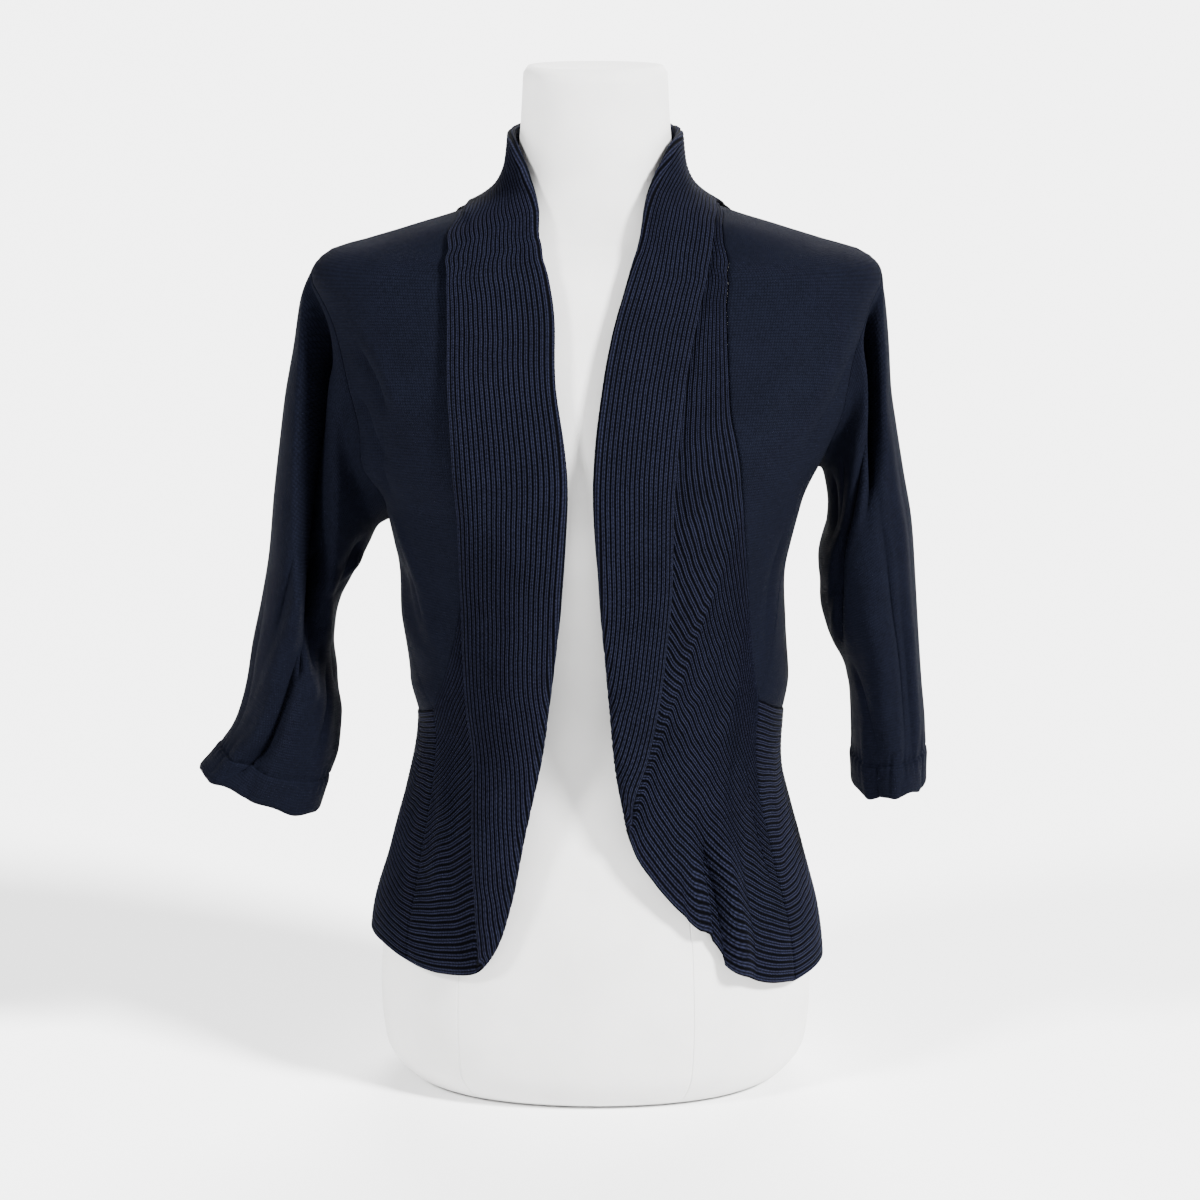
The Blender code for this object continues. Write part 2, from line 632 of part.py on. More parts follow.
def front_panel_grid(side):
    """Rows of points of the inside of a plain front, from the shoulder down."""
    sign = 1.0 if side == "left" else -1.0
    grid = []
    rows = front_rows(side)
    line = np.array([collar_rows(side)[-1].seam] + [row.seam for row in rows])
    line = beside(line, -sign * SEAM_GAP)[1:]
    for row, (first, run) in zip(rows, line):
        step = seam_step(row.seam[0], row.seam_height)
        last = side_angle(side, row.seam_height) - sign * step
        if (last - first) * sign < 0.4:
            last = first + 0.4 * sign
        angles = np.linspace(first, last, FRONT_PANEL_COLUMNS + 1)
        runs = np.linspace(run, row.seam[1], FRONT_PANEL_COLUMNS + 1)
        grid.append(cloth_points(angles, runs, 0.0))
    grid[-1] = grid[-2] + (grid[-1] - grid[-2]) * 0.93
    return grid


def back_panel_grid():
    """Rows of points of the inside of the plain back, from the neck down to the hem.

    A row joins the same row of the two fronts. Above the shoulder tips its height runs up to
    the neckline, and near the hem it follows the top of the ribbing.
    """
    left_rows, right_rows = front_rows("left"), front_rows("right")
    even = np.linspace(0, 1, BACK_COLUMNS + 1)
    closer = even - CLOSER_AT_SIDES * np.sin(2 * np.pi * even)
    hem = smooth(np.linspace(0, 1, len(BACK_HEM)), BACK_HEM, hem_places(closer))
    neck = []
    for side in ("left", "right"):
        neck.append([row.seam_height for row in collar_rows(side)])
    neck = np.array(neck[0][::-1] + neck[1][1:])
    neck_angles = np.linspace(90.0, 270.0, BACK_COLUMNS + 1)
    grid = [(neck_angles, run_at(neck) - 1.6 * SEAM_GAP)]
    for left, right in zip(left_rows, right_rows):
        first = side_angle("left", left.seam_height, "back")
        last = side_angle("right", right.seam_height, "back") % 360.0
        first += seam_step(first, left.seam_height)
        last -= seam_step(last, right.seam_height)
        u = even + (closer - even) * smoothstep((560.0 - left.seam_height) / 150.0)
        angles = first + (last - first) * u
        heights = left.seam_height + (right.seam_height - left.seam_height) * u
        if heights[0] > SHOULDER_HEIGHT:
            share = (heights - SHOULDER_HEIGHT) / (neck[0] - SHOULDER_HEIGHT)
            heights = SHOULDER_HEIGHT + share * (neck - SHOULDER_HEIGHT)
        near_hem = 1 - smoothstep((heights - 290.0) / 130.0)
        heights = heights + (hem[:, 1] - (296.0 - 10.0 * u)) * near_hem
        angles = angles + (hem[:, 0] - angles) * (1 - smoothstep((heights - 272.0) / 90.0))
        angles[0] = max(angles[0], first)
        angles[-1] = min(angles[-1], last)
        grid.append((angles, run_at(heights)))
    grid[-1] = (grid[-1][0], run_at(hem[:, 1]) + SEAM_GAP)
    return [cloth_points(angles, runs, 0.0) for angles, runs in grid]


def hem_places(u):
    """Places in the hem table that are even in angle at the top of the hem."""
    table = np.array(BACK_HEM)
    at = np.linspace(0, 1, len(table))
    fine = np.linspace(0, 1, 800)
    angles = smooth(at, table[:, 0], fine)[:, 0]
    return np.interp(table[0, 0] + (table[-1, 0] - table[0, 0]) * u, angles, fine)


def back_hem_mesh():
    """Vertices and faces of the ribbed hem round the back."""
    u = np.linspace(0, 1, BACK_COLUMNS + 1)
    u = u - CLOSER_AT_SIDES * np.sin(2 * np.pi * u)
    table = smooth(np.linspace(0, 1, len(BACK_HEM)), BACK_HEM, hem_places(u))
    half_ribs = np.arange(0, RIB_COUNT + 0.25, 0.5)
    plain = np.arange(0, RIB_COUNT + 1, PLAIN_COLUMN_RIBS).astype(float)
    crest = (np.arange(len(half_ribs)) % 2) == 1
    vertices = []
    outer, inner = [], []
    for i, (top_angle, top, foot_angle, foot) in enumerate(table):
        step = seam_step(top_angle, top)
        shift = step if i == 0 else -step if i == len(table) - 1 else 0.0
        top_run, foot_run = run_at(top), run_at(foot)
        near = smoothstep(1 - (table[-1, 0] - top_angle) / BACK_RIB_RISE_DEG)
        inside = half_ribs[::2] if i in (0, len(table) - 1) else plain
        for places, raised, face, store in (
            (half_ribs, crest, 1, outer),
            (inside, np.zeros(len(inside), bool), -1, inner),
        ):
            share = places / RIB_COUNT
            share = share - BACK_RIB_RISE / (top - foot) * near * np.sin(np.pi * share)
            angle = top_angle + (foot_angle - top_angle) * share + shift
            run = top_run + (foot_run - top_run) * share
            lift = 1.2 * smoothstep(share * 2)
            lift = lift + (BAND_THICKNESS + np.where(raised, RIB_HEIGHT, 0.0) if face > 0 else 0.0)
            points = cloth_points(angle, run, lift)
            store.append([(p, len(vertices) + k) for k, p in enumerate(places)])
            vertices.extend(points)
    return vertices, close_rows(outer, inner)


def sleeve_rings(side):
    """Rings of points of the inside of a sleeve, from the armhole to the cuff.

    The first ring is the edge of the armhole. The others are ellipses through an outer point
    and an inner point, with the soft folds added, and they take up the armhole's spacing.
    """
    sign = 1.0 if side == "left" else -1.0
    armpit = ARMHOLE[side][0][0]
    levels = [row.seam_height for row in front_rows(side)]
    levels = [h for h in levels if armpit - 1e-6 <= h <= SHOULDER_HEIGHT + 1e-6]
    front = [(side_angle(side, h, "front"), h) for h in levels[1:-1]]
    back = [(side_angle(side, h, "back"), h) for h in levels[1:-1]]
    tip, pit = (90.0 * sign, levels[0]), (90.0 * sign, levels[-1])
    loop = [tip] + front + [pit] + back[::-1]
    count = len(loop)
    first = []
    for k, (angle, height) in enumerate(loop):
        inward = seam_step(angle, height) * (1 if 0 < k < len(front) + 1 else -1) * sign
        if k in (0, len(front) + 1):
            inward = 0.0
        point = cloth_points(angle + inward, run_at(height), 0.0)
        first.append(point)
    first = np.array(first)
    first[0] += (sign * 4 * SEAM_GAP, 0.0, -2 * SEAM_GAP)
    first[len(front) + 1] += (sign * SEAM_GAP, 0.0, SEAM_GAP)

    outer, inner = first[0], first[len(front) + 1]
    middle, half_axis = (outer + inner) / 2, (outer - inner) / 2
    along = np.clip((first - middle) @ half_axis / (half_axis @ half_axis), -1, 1)
    psi = np.degrees(np.arccos(along))
    psi[len(front) + 2:] = 360.0 - psi[len(front) + 2:]
    even = np.interp(np.arange(count), [0, len(front) + 1, count], [0, 180, 360])

    rings = [first]
    table = SLEEVE_RINGS[side]
    for r, (ox, oz, ix, iz, depth, middle_y) in enumerate(table):
        share = smoothstep(r / 4)
        place = psi + (even - psi) * share
        radians = np.radians(place)
        centre = np.array([(ox + ix) / 2, middle_y, (oz + iz) / 2])
        axis = np.array([(ox - ix) / 2, 0.0, (oz - iz) / 2])
        depth_axis = np.array([0.0, -depth, 0.0])
        ring = centre + np.cos(radians)[:, None] * axis + np.sin(radians)[:, None] * depth_axis
        ring += sleeve_fold(side, r + 1.0, place)[:, None] * unit(ring - centre)
        rings.append(ring)
    return rings


def unit(vectors):
    """Vectors made one long."""
    return vectors / np.linalg.norm(vectors, axis=-1, keepdims=True)


def sleeve_fold(side, ring, place):
    """Height of the soft folds of a sleeve at a ring number and places round it."""
    total = np.zeros_like(place)
    for top, foot, top_place, foot_place, half_width, rise in SLEEVE_FOLDS[side]:
        along = (ring - top) / (foot - top)
        centre = top_place + (foot_place - top_place) * along
        off = (place - centre + 180.0) % 360.0 - 180.0
        ends = smoothstep(along / 0.3) * smoothstep((1 - along) / 0.3)
        total += rise * (1 - smoothstep(np.abs(off) / (1.8 * half_width))) * ends
    return total


def material(name, colour, roughness):
    """A Principled material."""
    made = bpy.data.materials.new(name)
    made.use_nodes = True
    shader = made.node_tree.nodes["Principled BSDF"]
    shader.inputs["Base Color"].default_value = colour
    shader.inputs["Roughness"].default_value = roughness
    shader.inputs["Metallic"].default_value = 0.0
    made.diffuse_color = colour
    return made


def add_object(name, points, faces, finish, collection):
    """An object from points in millimetres."""
    mesh = bpy.data.meshes.new(name)
    mesh.from_pydata((np.array(points) * MM).tolist(), [], faces)
    mesh.validate()
    mesh.materials.append(finish)
    made = bpy.data.objects.new(name, mesh)
    collection.objects.link(made)
    return made


def add_wall(name, grid, finish, collection, closed=False):
    """A wall of plain knit: a grid of its inside points, solidified outwards."""
    columns = len(grid[0])
    faces = grid_faces(len(grid), columns, closed)
    made = add_object(name, np.concatenate(grid), faces, finish, collection)
    solidify = made.modifiers.new("Thickness", "SOLIDIFY")
    solidify.thickness = KNIT_THICKNESS * MM
    solidify.offset = 1.0
    solidify.use_even_offset = True
    return made


def add_form(finish, collection):
    """The dress form: rings up the body and a flat base and top."""
    runs = FORM_RUN
    angles = np.arange(FORM_COLUMNS) * 360.0 / FORM_COLUMNS
    rings = [form_points(angles, run) for run in runs]
    count = FORM_COLUMNS
    faces = grid_faces(len(rings), count, True)
    faces.append(tuple(range(count))[::-1])
    faces.append(tuple((len(rings) - 1) * count + k for k in range(count)))
    return add_object("dress_form", np.concatenate(rings), faces, finish, collection)


def build():
    """Make the cardigan and its form."""
    for old in list(bpy.data.objects):
        bpy.data.objects.remove(old, do_unlink=True)
    collection = bpy.data.collections.new("cardigan")
    bpy.context.scene.collection.children.link(collection)
    add_form(material("form_cover", COVER_COLOUR, 0.85), collection)
    back = back_panel_grid()
    add_wall("back_panel", back, material("knit_back", KNIT_COLOUR, 0.92), collection)
    for side in ("right", "left"):
        grid = front_panel_grid(side)
        if side == "left":
            grid = grid[::-1]
        add_wall("front_" + side, grid, material("knit_front_" + side, KNIT_COLOUR, 0.92), collection)
        rings = sleeve_rings(side)
        if side == "left":
            rings = rings[::-1]
        sleeve_finish = material("knit_sleeve_" + side, KNIT_COLOUR, 0.92)
        add_wall("sleeve_" + side, rings, sleeve_finish, collection, closed=True)
        collar = collar_rows(side)
        sign = 1.0 if side == "left" else -1.0
        collar[0].moved(-sign * 0.14)
        front = front_rows(side, between=True)
        front[-1].moved(-sign * 0.07)
        points, faces = band_mesh(collar + front)
        if side == "right":
            faces = [face[::-1] for face in faces]
        add_object("band_" + side, points, faces, material("rib_" + side, RIB_COLOUR, 0.9), collection)
    points, faces = back_hem_mesh()
    add_object("back_hem_band", points, faces, material("rib_back", RIB_COLOUR, 0.9), collection)


build()
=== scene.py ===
"""Knit cardigan with a ribbed shawl collar, worn by a cloth-covered dress form.

The model is in metres, +Z up, with the front of the form facing -Y. Shapes are worked out in
millimetres, because that is how a pattern is cut and a form is measured.

A place on the body is an angle and a run. The angle is 0 at the centre front, 90 at the
wearer's left and 180 at the centre back. The run is the length up the side of the form.
A place across the band is counted from 0 at its seam to 40 at its free edge.
"""

import logging
from dataclasses import dataclass
from enum import Enum
from typing import Callable, NamedTuple

import bmesh
import bpy
import numpy as np
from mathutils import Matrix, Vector

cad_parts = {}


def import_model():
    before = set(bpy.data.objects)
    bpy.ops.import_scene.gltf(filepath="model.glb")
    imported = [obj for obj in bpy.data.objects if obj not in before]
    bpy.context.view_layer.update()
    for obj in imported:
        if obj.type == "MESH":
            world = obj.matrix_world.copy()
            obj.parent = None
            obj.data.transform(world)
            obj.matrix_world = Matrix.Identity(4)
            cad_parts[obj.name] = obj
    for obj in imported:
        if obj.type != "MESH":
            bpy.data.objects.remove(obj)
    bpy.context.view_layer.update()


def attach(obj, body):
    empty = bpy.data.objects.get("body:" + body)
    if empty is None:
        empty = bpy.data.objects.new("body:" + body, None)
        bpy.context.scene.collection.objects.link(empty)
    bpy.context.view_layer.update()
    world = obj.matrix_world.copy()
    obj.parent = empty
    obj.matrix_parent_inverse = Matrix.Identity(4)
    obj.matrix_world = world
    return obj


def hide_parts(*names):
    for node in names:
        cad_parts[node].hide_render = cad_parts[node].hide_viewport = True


Array = np.ndarray
Surface = Callable[[Array, Array], Array]
Colour = tuple[float, float, float]
Socket = bpy.types.NodeSocket

LOG = logging.getLogger("cardigan")
CLOTH_MAP = "cloth"
MM = 0.001

# Millimetres between two pieces at a seam.
SEAM_GAP = 0.36

# A fold reaches this many half widths to each side. A crease falls off by this power. Every
# fold fades over this share of its length at each end, and has already started at its foot.
FOLD_REACH = 1.8
CREASE_SHARPNESS = 1.6
FOLD_FADE = 0.35
FOLD_START = 0.1

# How full a rib is, and how far its groove reaches, as a share of half a rib.
RIB_FULLNESS = 2.6
GROOVE_WIDTH = 0.4


class Section(NamedTuple):
    """A level cut through the form."""

    height: float
    half_width: float
    front: float
    back: float


class Ease(NamedTuple):
    """How far the inside of the cloth lies off the form at a height."""

    height: float
    right: float
    left: float
    front: float
    back: float


class Fold(NamedTuple):
    """A soft fold from its top to its foot. A trough has a negative rise.

    A positive lean makes the wall at smaller places wider, and the other one steeper.
    """

    top_place: float
    top: float
    foot_place: float
    foot: float
    half_width: float
    rise: float
    lean: float = 0.0


class Station(NamedTuple):
    """A row across the band: angle and height of its seam, its fold and its free edge.

    Folded is how many of the 40 places lie beyond the fold, and the stand-off is how far the
    fold is lifted off the body.
    """

    seam_angle: float
    seam_height: float
    fold_angle: float
    fold_height: float
    edge_angle: float
    edge_height: float
    folded: float
    stand_off: float


class Ring(NamedTuple):
    """A ring of a sleeve: its outer and inner points, half its depth and its middle."""

    outer_x: float
    outer_z: float
    inner_x: float
    inner_z: float
    half_depth: float
    middle_y: float

    def points(self, place: Array) -> Array:
        """Work out the ring: an ellipse through its outer and inner points.

        A point is the centre, plus the cosine of its place times half the way from the inner
        point to the outer one, plus the sine times half the depth to the front.

        Args:
            place: Degrees round the sleeve, from its outer side over its front.

        Returns:
            Points (places, 3).
        """
        outer = np.array([self.outer_x, 0.0, self.outer_z])
        inner = np.array([self.inner_x, 0.0, self.inner_z])
        centre = (outer + inner) / 2 + (0.0, self.middle_y, 0.0)
        c, s = np.cos(np.radians(place))[:, None], np.sin(np.radians(place))[:, None]
        return centre + c * (outer - inner) / 2 + s * np.array([0.0, -self.half_depth, 0.0])


class Side(Enum):
    """A side of the wearer."""

    RIGHT = "right"
    LEFT = "left"

    @property
    def sign(self) -> float:
        """+1 on the wearer's left, which is +X, and -1 on the right."""
        return 1.0 if self is Side.LEFT else -1.0


class Edge(Enum):
    """An edge of an armhole, as its column in the armhole's table."""

    FRONT = 1
    BACK = 2


# The body of the form, from its base to the top of its neck.
FORM_SECTIONS = (
    Section(0, 130, 86, 92),
    Section(6, 141, 95, 102),
    Section(28, 155, 105, 114),
    Section(65, 158, 107, 119),
    Section(120, 154, 105, 118.5),
    Section(170, 142, 98.5, 111),
    Section(220, 128.5, 90, 99),
    Section(265, 119, 84, 88),
    Section(300, 116, 83, 83),
    Section(345, 121, 91, 86),
    Section(390, 131, 107, 91),
    Section(430, 140, 118, 96),
    Section(470, 149, 117, 100),
    Section(510, 160, 106, 101),
    Section(545, 173, 90, 96),
    Section(572, 184, 74, 87),
    Section(588, 188, 64, 79),
    Section(598, 182, 58, 74),
    Section(607, 163, 54, 70),
    Section(618, 132, 51, 66),
    Section(631, 92, 50, 61),
    Section(640, 74, 50, 58),
    Section(652, 61.5, 50, 55),
    Section(668, 55, 50, 52.5),
    Section(690, 52.5, 49.5, 51),
    Section(714, 51, 49, 50),
    Section(731, 50, 48, 49),
    Section(735, 47, 45, 46),
)

# Ease of the cloth over the form.
EASE = (
    Ease(60, 4.5, 4.5, 3.6, 4.6),
    Ease(120, 5, 6, 4.4, 4.8),
    Ease(170, 5, 6, 8.5, 7),
    Ease(220, 5, 6, 14, 12),
    Ease(265, 7, 14, 19, 15),
    Ease(300, 16.5, 22, 22, 15),
    Ease(345, 17, 14.5, 17, 10),
    Ease(390, 9.5, 5.2, 9, 6),
    Ease(430, 9, 6, 4, 4.2),
    Ease(470, 22, 15, 3.4, 3.4),
    Ease(510, 21, 24, 4, 3),
    Ease(545, 15, 19, 4, 2.6),
    Ease(572, 11, 14, 3.6, 5),
    Ease(588, 11, 13, 4, 7),
    Ease(598, 8.5, 8.5, 3.6, 6),
    Ease(607, 5, 4.6, 3, 3.6),
    Ease(618, 3.2, 3.2, 2.6, 2.9),
    Ease(640, 2.6, 2.6, 2.4, 2.6),
    Ease(735, 1.8, 1.8, 2, 1.8),
)

# Broad soft folds over the body: places are angles and levels are heights.
BODY_FOLDS = (
    Fold(31, 235, 29, 96, 5, -3.2),
    Fold(38, 240, 36, 90, 5, 2.6),
    Fold(-60, 545, -66, 470, 6, -3.6),
    Fold(-55, 520, -74, 440, 6, 2.4),
    Fold(70, 585, 55, 500, 7, 3),
    Fold(60, 560, 47, 480, 6, -2.4),
    Fold(-80, 400, -62, 330, 6, -3),
    Fold(150, 420, 158, 300, 9, 4),
    Fold(205, 410, 198, 290, 9, 3.4),
    Fold(118, 470, 128, 380, 8, 3),
    Fold(244, 480, 234, 380, 8, 3),
)

# Side seams from the top of the ribbed hem to the armpit: height, angle.
SIDE_SEAM = {
    Side.LEFT: (
        (296, 55),
        (326, 62),
        (360, 70),
        (410, 80),
        (456, 90),
    ),
    Side.RIGHT: (
        (286, -58.5),
        (305, -66),
        (330, -74),
        (366, -83),
        (418, -90),
    ),
}

# Armholes: height, angle of the front edge, angle of the back edge.
ARMHOLE = {
    Side.LEFT: (
        (456, 90, 90),
        (473, 79, 101),
        (489, 75, 106),
        (518, 71.5, 111),
        (555, 72, 110.5),
        (580, 77, 105),
        (592, 90, 90),
    ),
    Side.RIGHT: (
        (418, -90, -90),
        (436, -79, -101),
        (457, -74.5, -106),
        (505, -70.5, -111),
        (555, -71.5, -110),
        (580, -77, -105),
        (592, -90, -90),
    ),
}

# The folded band, from the centre back neck over the shoulder, down the front and round
# the hem to the side seam.
BAND_STATIONS = {
    Side.LEFT: (
        Station(180, 624, 180, 695, 180, 616, 21, 0.6),
        Station(135, 628, 135, 693.5, 135, 621, 20.5, 0.6),
        Station(90, 634, 88, 689.5, 90, 635.5, 19, 0.8),
        Station(78, 632.5, 65, 685.5, 75, 634.5, 18.5, 1.6),
        Station(62, 629, 48.5, 675, 59.5, 630.5, 18, 3.5),
        Station(48.1, 624, 34.5, 657, 43.5, 624, 17.5, 4.5),
        Station(35, 613, 24.2, 640, 31.1, 613, 17.5, 5),
        Station(27.2, 592, 12.3, 617, 23.4, 596, 17.5, 5),
        Station(27.1, 578, 7.4, 597, 21.8, 580, 17.3, 4.7),
        Station(27.8, 564, 5.2, 574, 21.2, 562, 17, 4.5),
        Station(30.2, 531, 2.1, 528, 20.2, 524, 17, 4),
        Station(32.4, 504, -0.1, 458, 19.7, 461, 17, 4.2),
        Station(35, 487, 1.9, 385, 20.7, 390, 16.5, 5),
        Station(37.4, 472, 4.3, 322, 19, 320, 13.5, 6),
        Station(39.4, 456, 6.1, 266, 15, 266, 8.5, 5),
        Station(41, 445, 8, 226, 9.9, 223, 4.2, 3.5),
        Station(42.7, 431, 10, 197, 10, 197, 0, 3),
        Station(44.5, 417, 15.3, 173, 15.3, 173, 0, 3),
        Station(47, 398, 22.4, 149, 22.4, 149, 0, 3),
        Station(49.8, 376, 30.5, 128, 30.5, 128, 0, 2.4),
        Station(51.5, 352, 36.6, 105, 36.6, 105, 0, 2.4),
        Station(53, 326, 47, 92, 47, 92, 0, 2),
        Station(55, 296, 58.5, 87, 58.5, 87, 0, 2),
    ),
    Side.RIGHT: (
        Station(-180, 624, -180, 695, -180, 616, 21, 0.6),
        Station(-135, 628, -135, 693.5, -135, 621, 21, 0.6),
        Station(-90, 634, -88, 689.5, -92, 632, 21, 0.8),
        Station(-78, 632.5, -70, 685.5, -80, 630.5, 21, 1.6),
        Station(-63, 629, -53, 674, -62, 626, 21, 3.5),
        Station(-49.5, 624, -40, 657, -46.5, 617, 21, 4.5),
        Station(-35, 612, -25.3, 635, -35, 605, 21, 5),
        Station(-27.9, 592, -13, 610, -30.8, 588, 21, 5),
        Station(-27.8, 578, -9, 586, -31.3, 572, 21, 4.7),
        Station(-28.5, 564, -8.3, 562, -32.3, 555, 21, 4.5),
        Station(-30.8, 531, -8.8, 525, -34.4, 520, 21, 4),
        Station(-32.4, 504, -7.1, 464, -36.2, 460, 21.2, 4.2),
        Station(-33.6, 479, -9.4, 392, -39.2, 385, 21.5, 5.5),
        Station(-34.8, 457, -12.8, 328, -40.4, 317, 20.5, 7),
        Station(-36.2, 436, -16.1, 262, -37.6, 254, 16.5, 7),
        Station(-37.4, 418, -20.1, 203, -34.6, 197, 12.5, 6),
        Station(-38.8, 398, -22.4, 158, -31.3, 154, 9, 4.5),
        Station(-40, 382, -25.9, 121, -29.2, 119.5, 4.6, 3),
        Station(-41.7, 366, -31, 104.5, -31, 104.5, 0, 2.5),
        Station(-44.7, 345, -37, 102, -37, 102, 0, 2.4),
        Station(-48.5, 326, -42.5, 101.5, -42.5, 101.5, 0, 2.2),
        Station(-53, 305, -48, 102.5, -48, 102.5, 0, 2),
        Station(-58.5, 286, -54, 104.5, -54, 104.5, 0, 2),
    ),
}

# The ribbed hem round the back, from the left side seam to the right: angle and height of
# its top, angle and height of its lower edge.
BACK_HEM = (
    (55, 296, 58.5, 87),
    (69, 283, 73, 88),
    (88, 274, 91, 87),
    (120, 269, 121, 92),
    (180, 268, 180, 99),
    (240, 270, 239, 103),
    (268, 273, 270, 108),
    (286, 278, 289, 109),
    (301.5, 286, 306, 104.5),
)

# Rings of the sleeves, from below the armhole to the cuff.
SLEEVE_RINGS = {
    Side.LEFT: (
        Ring(203.7, 570, 163, 450, 47, 8),
        Ring(206.5, 541, 166.5, 437, 52, 8),
        Ring(208.6, 510, 168.2, 423, 54, 7),
        Ring(212.5, 484, 167.3, 408, 55, 6),
        Ring(218.3, 450, 161.6, 385, 56, 4),
        Ring(225, 412, 164, 362, 57, 2),
        Ring(228.2, 372, 170.6, 336, 56, 0),
        Ring(230.7, 335, 180.6, 311, 55, -3),
        Ring(233.4, 300, 184.9, 285, 54, -6),
        Ring(236.4, 267, 186.2, 258, 53, -9),
        Ring(237, 243, 186.8, 238, 52, -11),
        Ring(237, 226, 187.4, 222, 51, -13),
    ),
    Side.RIGHT: (
        Ring(-207.1, 572, -157.6, 408, 47, 8),
        Ring(-212.9, 538, -163.7, 396, 52, 8),
        Ring(-219.4, 503, -169.9, 384, 55, 7),
        Ring(-224.1, 468, -177.7, 370, 56, 6),
        Ring(-228.7, 430, -184.9, 356, 57, 4),
        Ring(-232.3, 393, -188.9, 340, 57, 2),
        Ring(-238.6, 357, -190.4, 321, 55, 0),
        Ring(-245.6, 325, -188, 300, 53, -2),
        Ring(-250.8, 295, -187.4, 279, 49, -4),
        Ring(-259.4, 267, -189.6, 250, 45, -6),
        Ring(-271.8, 248, -195.8, 224, 42, -8),
        Ring(-285.5, 233, -203, 201, 40, -10),
    ),
}

# Long soft folds of the sleeves: places are degrees round the sleeve (0 outer, 90 front,
# 180 inner) and levels are ring numbers.
SLEEVE_FOLDS = {
    Side.LEFT: (
        Fold(38, -2.5, 87, 5.0, 12.5, -41, 0.25),
        Fold(100, 5.5, 110, 10.5, 15, 3.5),
        Fold(55, 6, 62, 11.5, 12, -4.2),
        Fold(235, 3, 228, 9, 16, -5),
        Fold(300, 1.5, 296, 7, 16, -5),
    ),
    Side.RIGHT: (
        Fold(-4, -2.5, 144, 8.6, 20, -45, -0.5),
        Fold(100, 4.0, 86, 8.2, 9, 4),
        Fold(88, 6.8, 46, 11.4, 9, 4),
        Fold(104, 8.5, 92, 12.2, 16, 3),
        Fold(235, 2.5, 232, 9, 16, -5),
        Fold(300, 3, 290, 9, 16, -4),
    ),
}

# Creases that are narrower than the broad folds: places are angles and levels are heights.
CREASES = (
    Fold(31.5, 206, 33.3, 88, 3.0, -17.0),
    Fold(27.4, 200, 30.0, 78, 3.2, 4.5),
    Fold(35.8, 212, 37.0, 76, 3.2, 5.5),
    Fold(-63, 556, -54, 500, 3.2, -4.0),
    Fold(-58, 560, -48, 496, 3.6, 2.0),
    Fold(-56, 505, -66, 440, 3.0, -3.2),
    Fold(-68, 520, -60, 470, 2.6, -3.0),
    Fold(72, 560, 58, 470, 3.6, -2.8),
    Fold(-72, 430, -58, 372, 3.4, 1.8),
    Fold(-70, 392, -60, 352, 2.6, -1.8),
    Fold(66, 430, 60, 330, 3.2, -1.6),
    Fold(-50, 250, -46, 140, 3.4, 1.8),
    Fold(50, 250, 54, 150, 3.2, -1.8),
    Fold(152, 540, 138, 430, 5.0, -2.2),
    Fold(206, 540, 220, 430, 5.0, -2.2),
    Fold(168, 470, 176, 330, 5.5, 1.8),
    Fold(112, 500, 128, 430, 4.2, -2.4),
    Fold(248, 500, 232, 420, 4.2, -2.4),
    Fold(120, 330, 112, 210, 4.4, 2.0),
    Fold(238, 330, 246, 210, 4.4, 2.0),
)

# Narrower creases of the sleeves: places are degrees round the sleeve, levels ring numbers.
# Both sleeves have the same ones at the back.
BACK_OF_SLEEVE = (
    Fold(200, 2.0, 236, 5.5, 10, -2.8),
    Fold(262, 3.0, 250, 8.5, 9, 3.0),
    Fold(300, 6.5, 280, 11.5, 9, -3.0),
)
SLEEVE_CREASES = {
    Side.LEFT: (
        Fold(150, 1.2, 150, 4.9, 11, -6.5),
        Fold(75, 1.6, 155, 7.6, 9, -15, -0.3),
        Fold(108, 4.6, 172, 7.6, 7, 4),
        Fold(122, 1.4, 142, 4.6, 8, -5),
        Fold(44, 2.0, 48, 11.4, 8, 2.8),
        Fold(70, 3.6, 74, 11.6, 6, -3.4),
        Fold(150, 7.6, 108, 10.4, 7, -3.6),
        Fold(140, 9.0, 128, 12.6, 6, 2.8),
        Fold(116, 10.2, 112, 12.8, 5, -3.2),
        Fold(84, 9.8, 92, 12.8, 5, 1.8),
        Fold(40, 9.4, 34, 12.8, 6, -2.2),
        Fold(180, 5.6, 180, 8.2, 12, 2.6),
        Fold(182, 8.4, 176, 10.6, 10, -2.2),
        *BACK_OF_SLEEVE,
        Fold(330, 1.5, 318, 6.0, 10, 2.4),
        Fold(212, 8.5, 224, 12.6, 7, 2.2),
    ),
    Side.RIGHT: (
        Fold(120, 3.4, 104, 8.5, 8, -12),
        Fold(108, 6.4, 58, 11.8, 9, -13),
        Fold(172, 2.4, 126, 5.6, 8, 4.2),
        Fold(158, 1.6, 146, 5.0, 9, -6),
        Fold(104, 5.2, 40, 10.0, 7, 3.2),
        Fold(84, 4.2, 66, 7.4, 6, -2.6),
        Fold(160, 6.0, 104, 9.6, 7, 2.6),
        Fold(168, 7.2, 128, 10.6, 7, -3.0),
        Fold(34, 6.4, 22, 10.6, 7, -2.2),
        Fold(76, 9.4, 84, 12.6, 6, -2.0),
        Fold(48, 9.6, 44, 12.6, 6, 2.0),
        Fold(176, 6.4, 178, 8.6, 11, -2.4),
        Fold(180, 8.4, 182, 11.0, 11, 2.6),
        *BACK_OF_SLEEVE,
        Fold(214, 8.5, 226, 12.6, 7, 2.2),
    ),
}


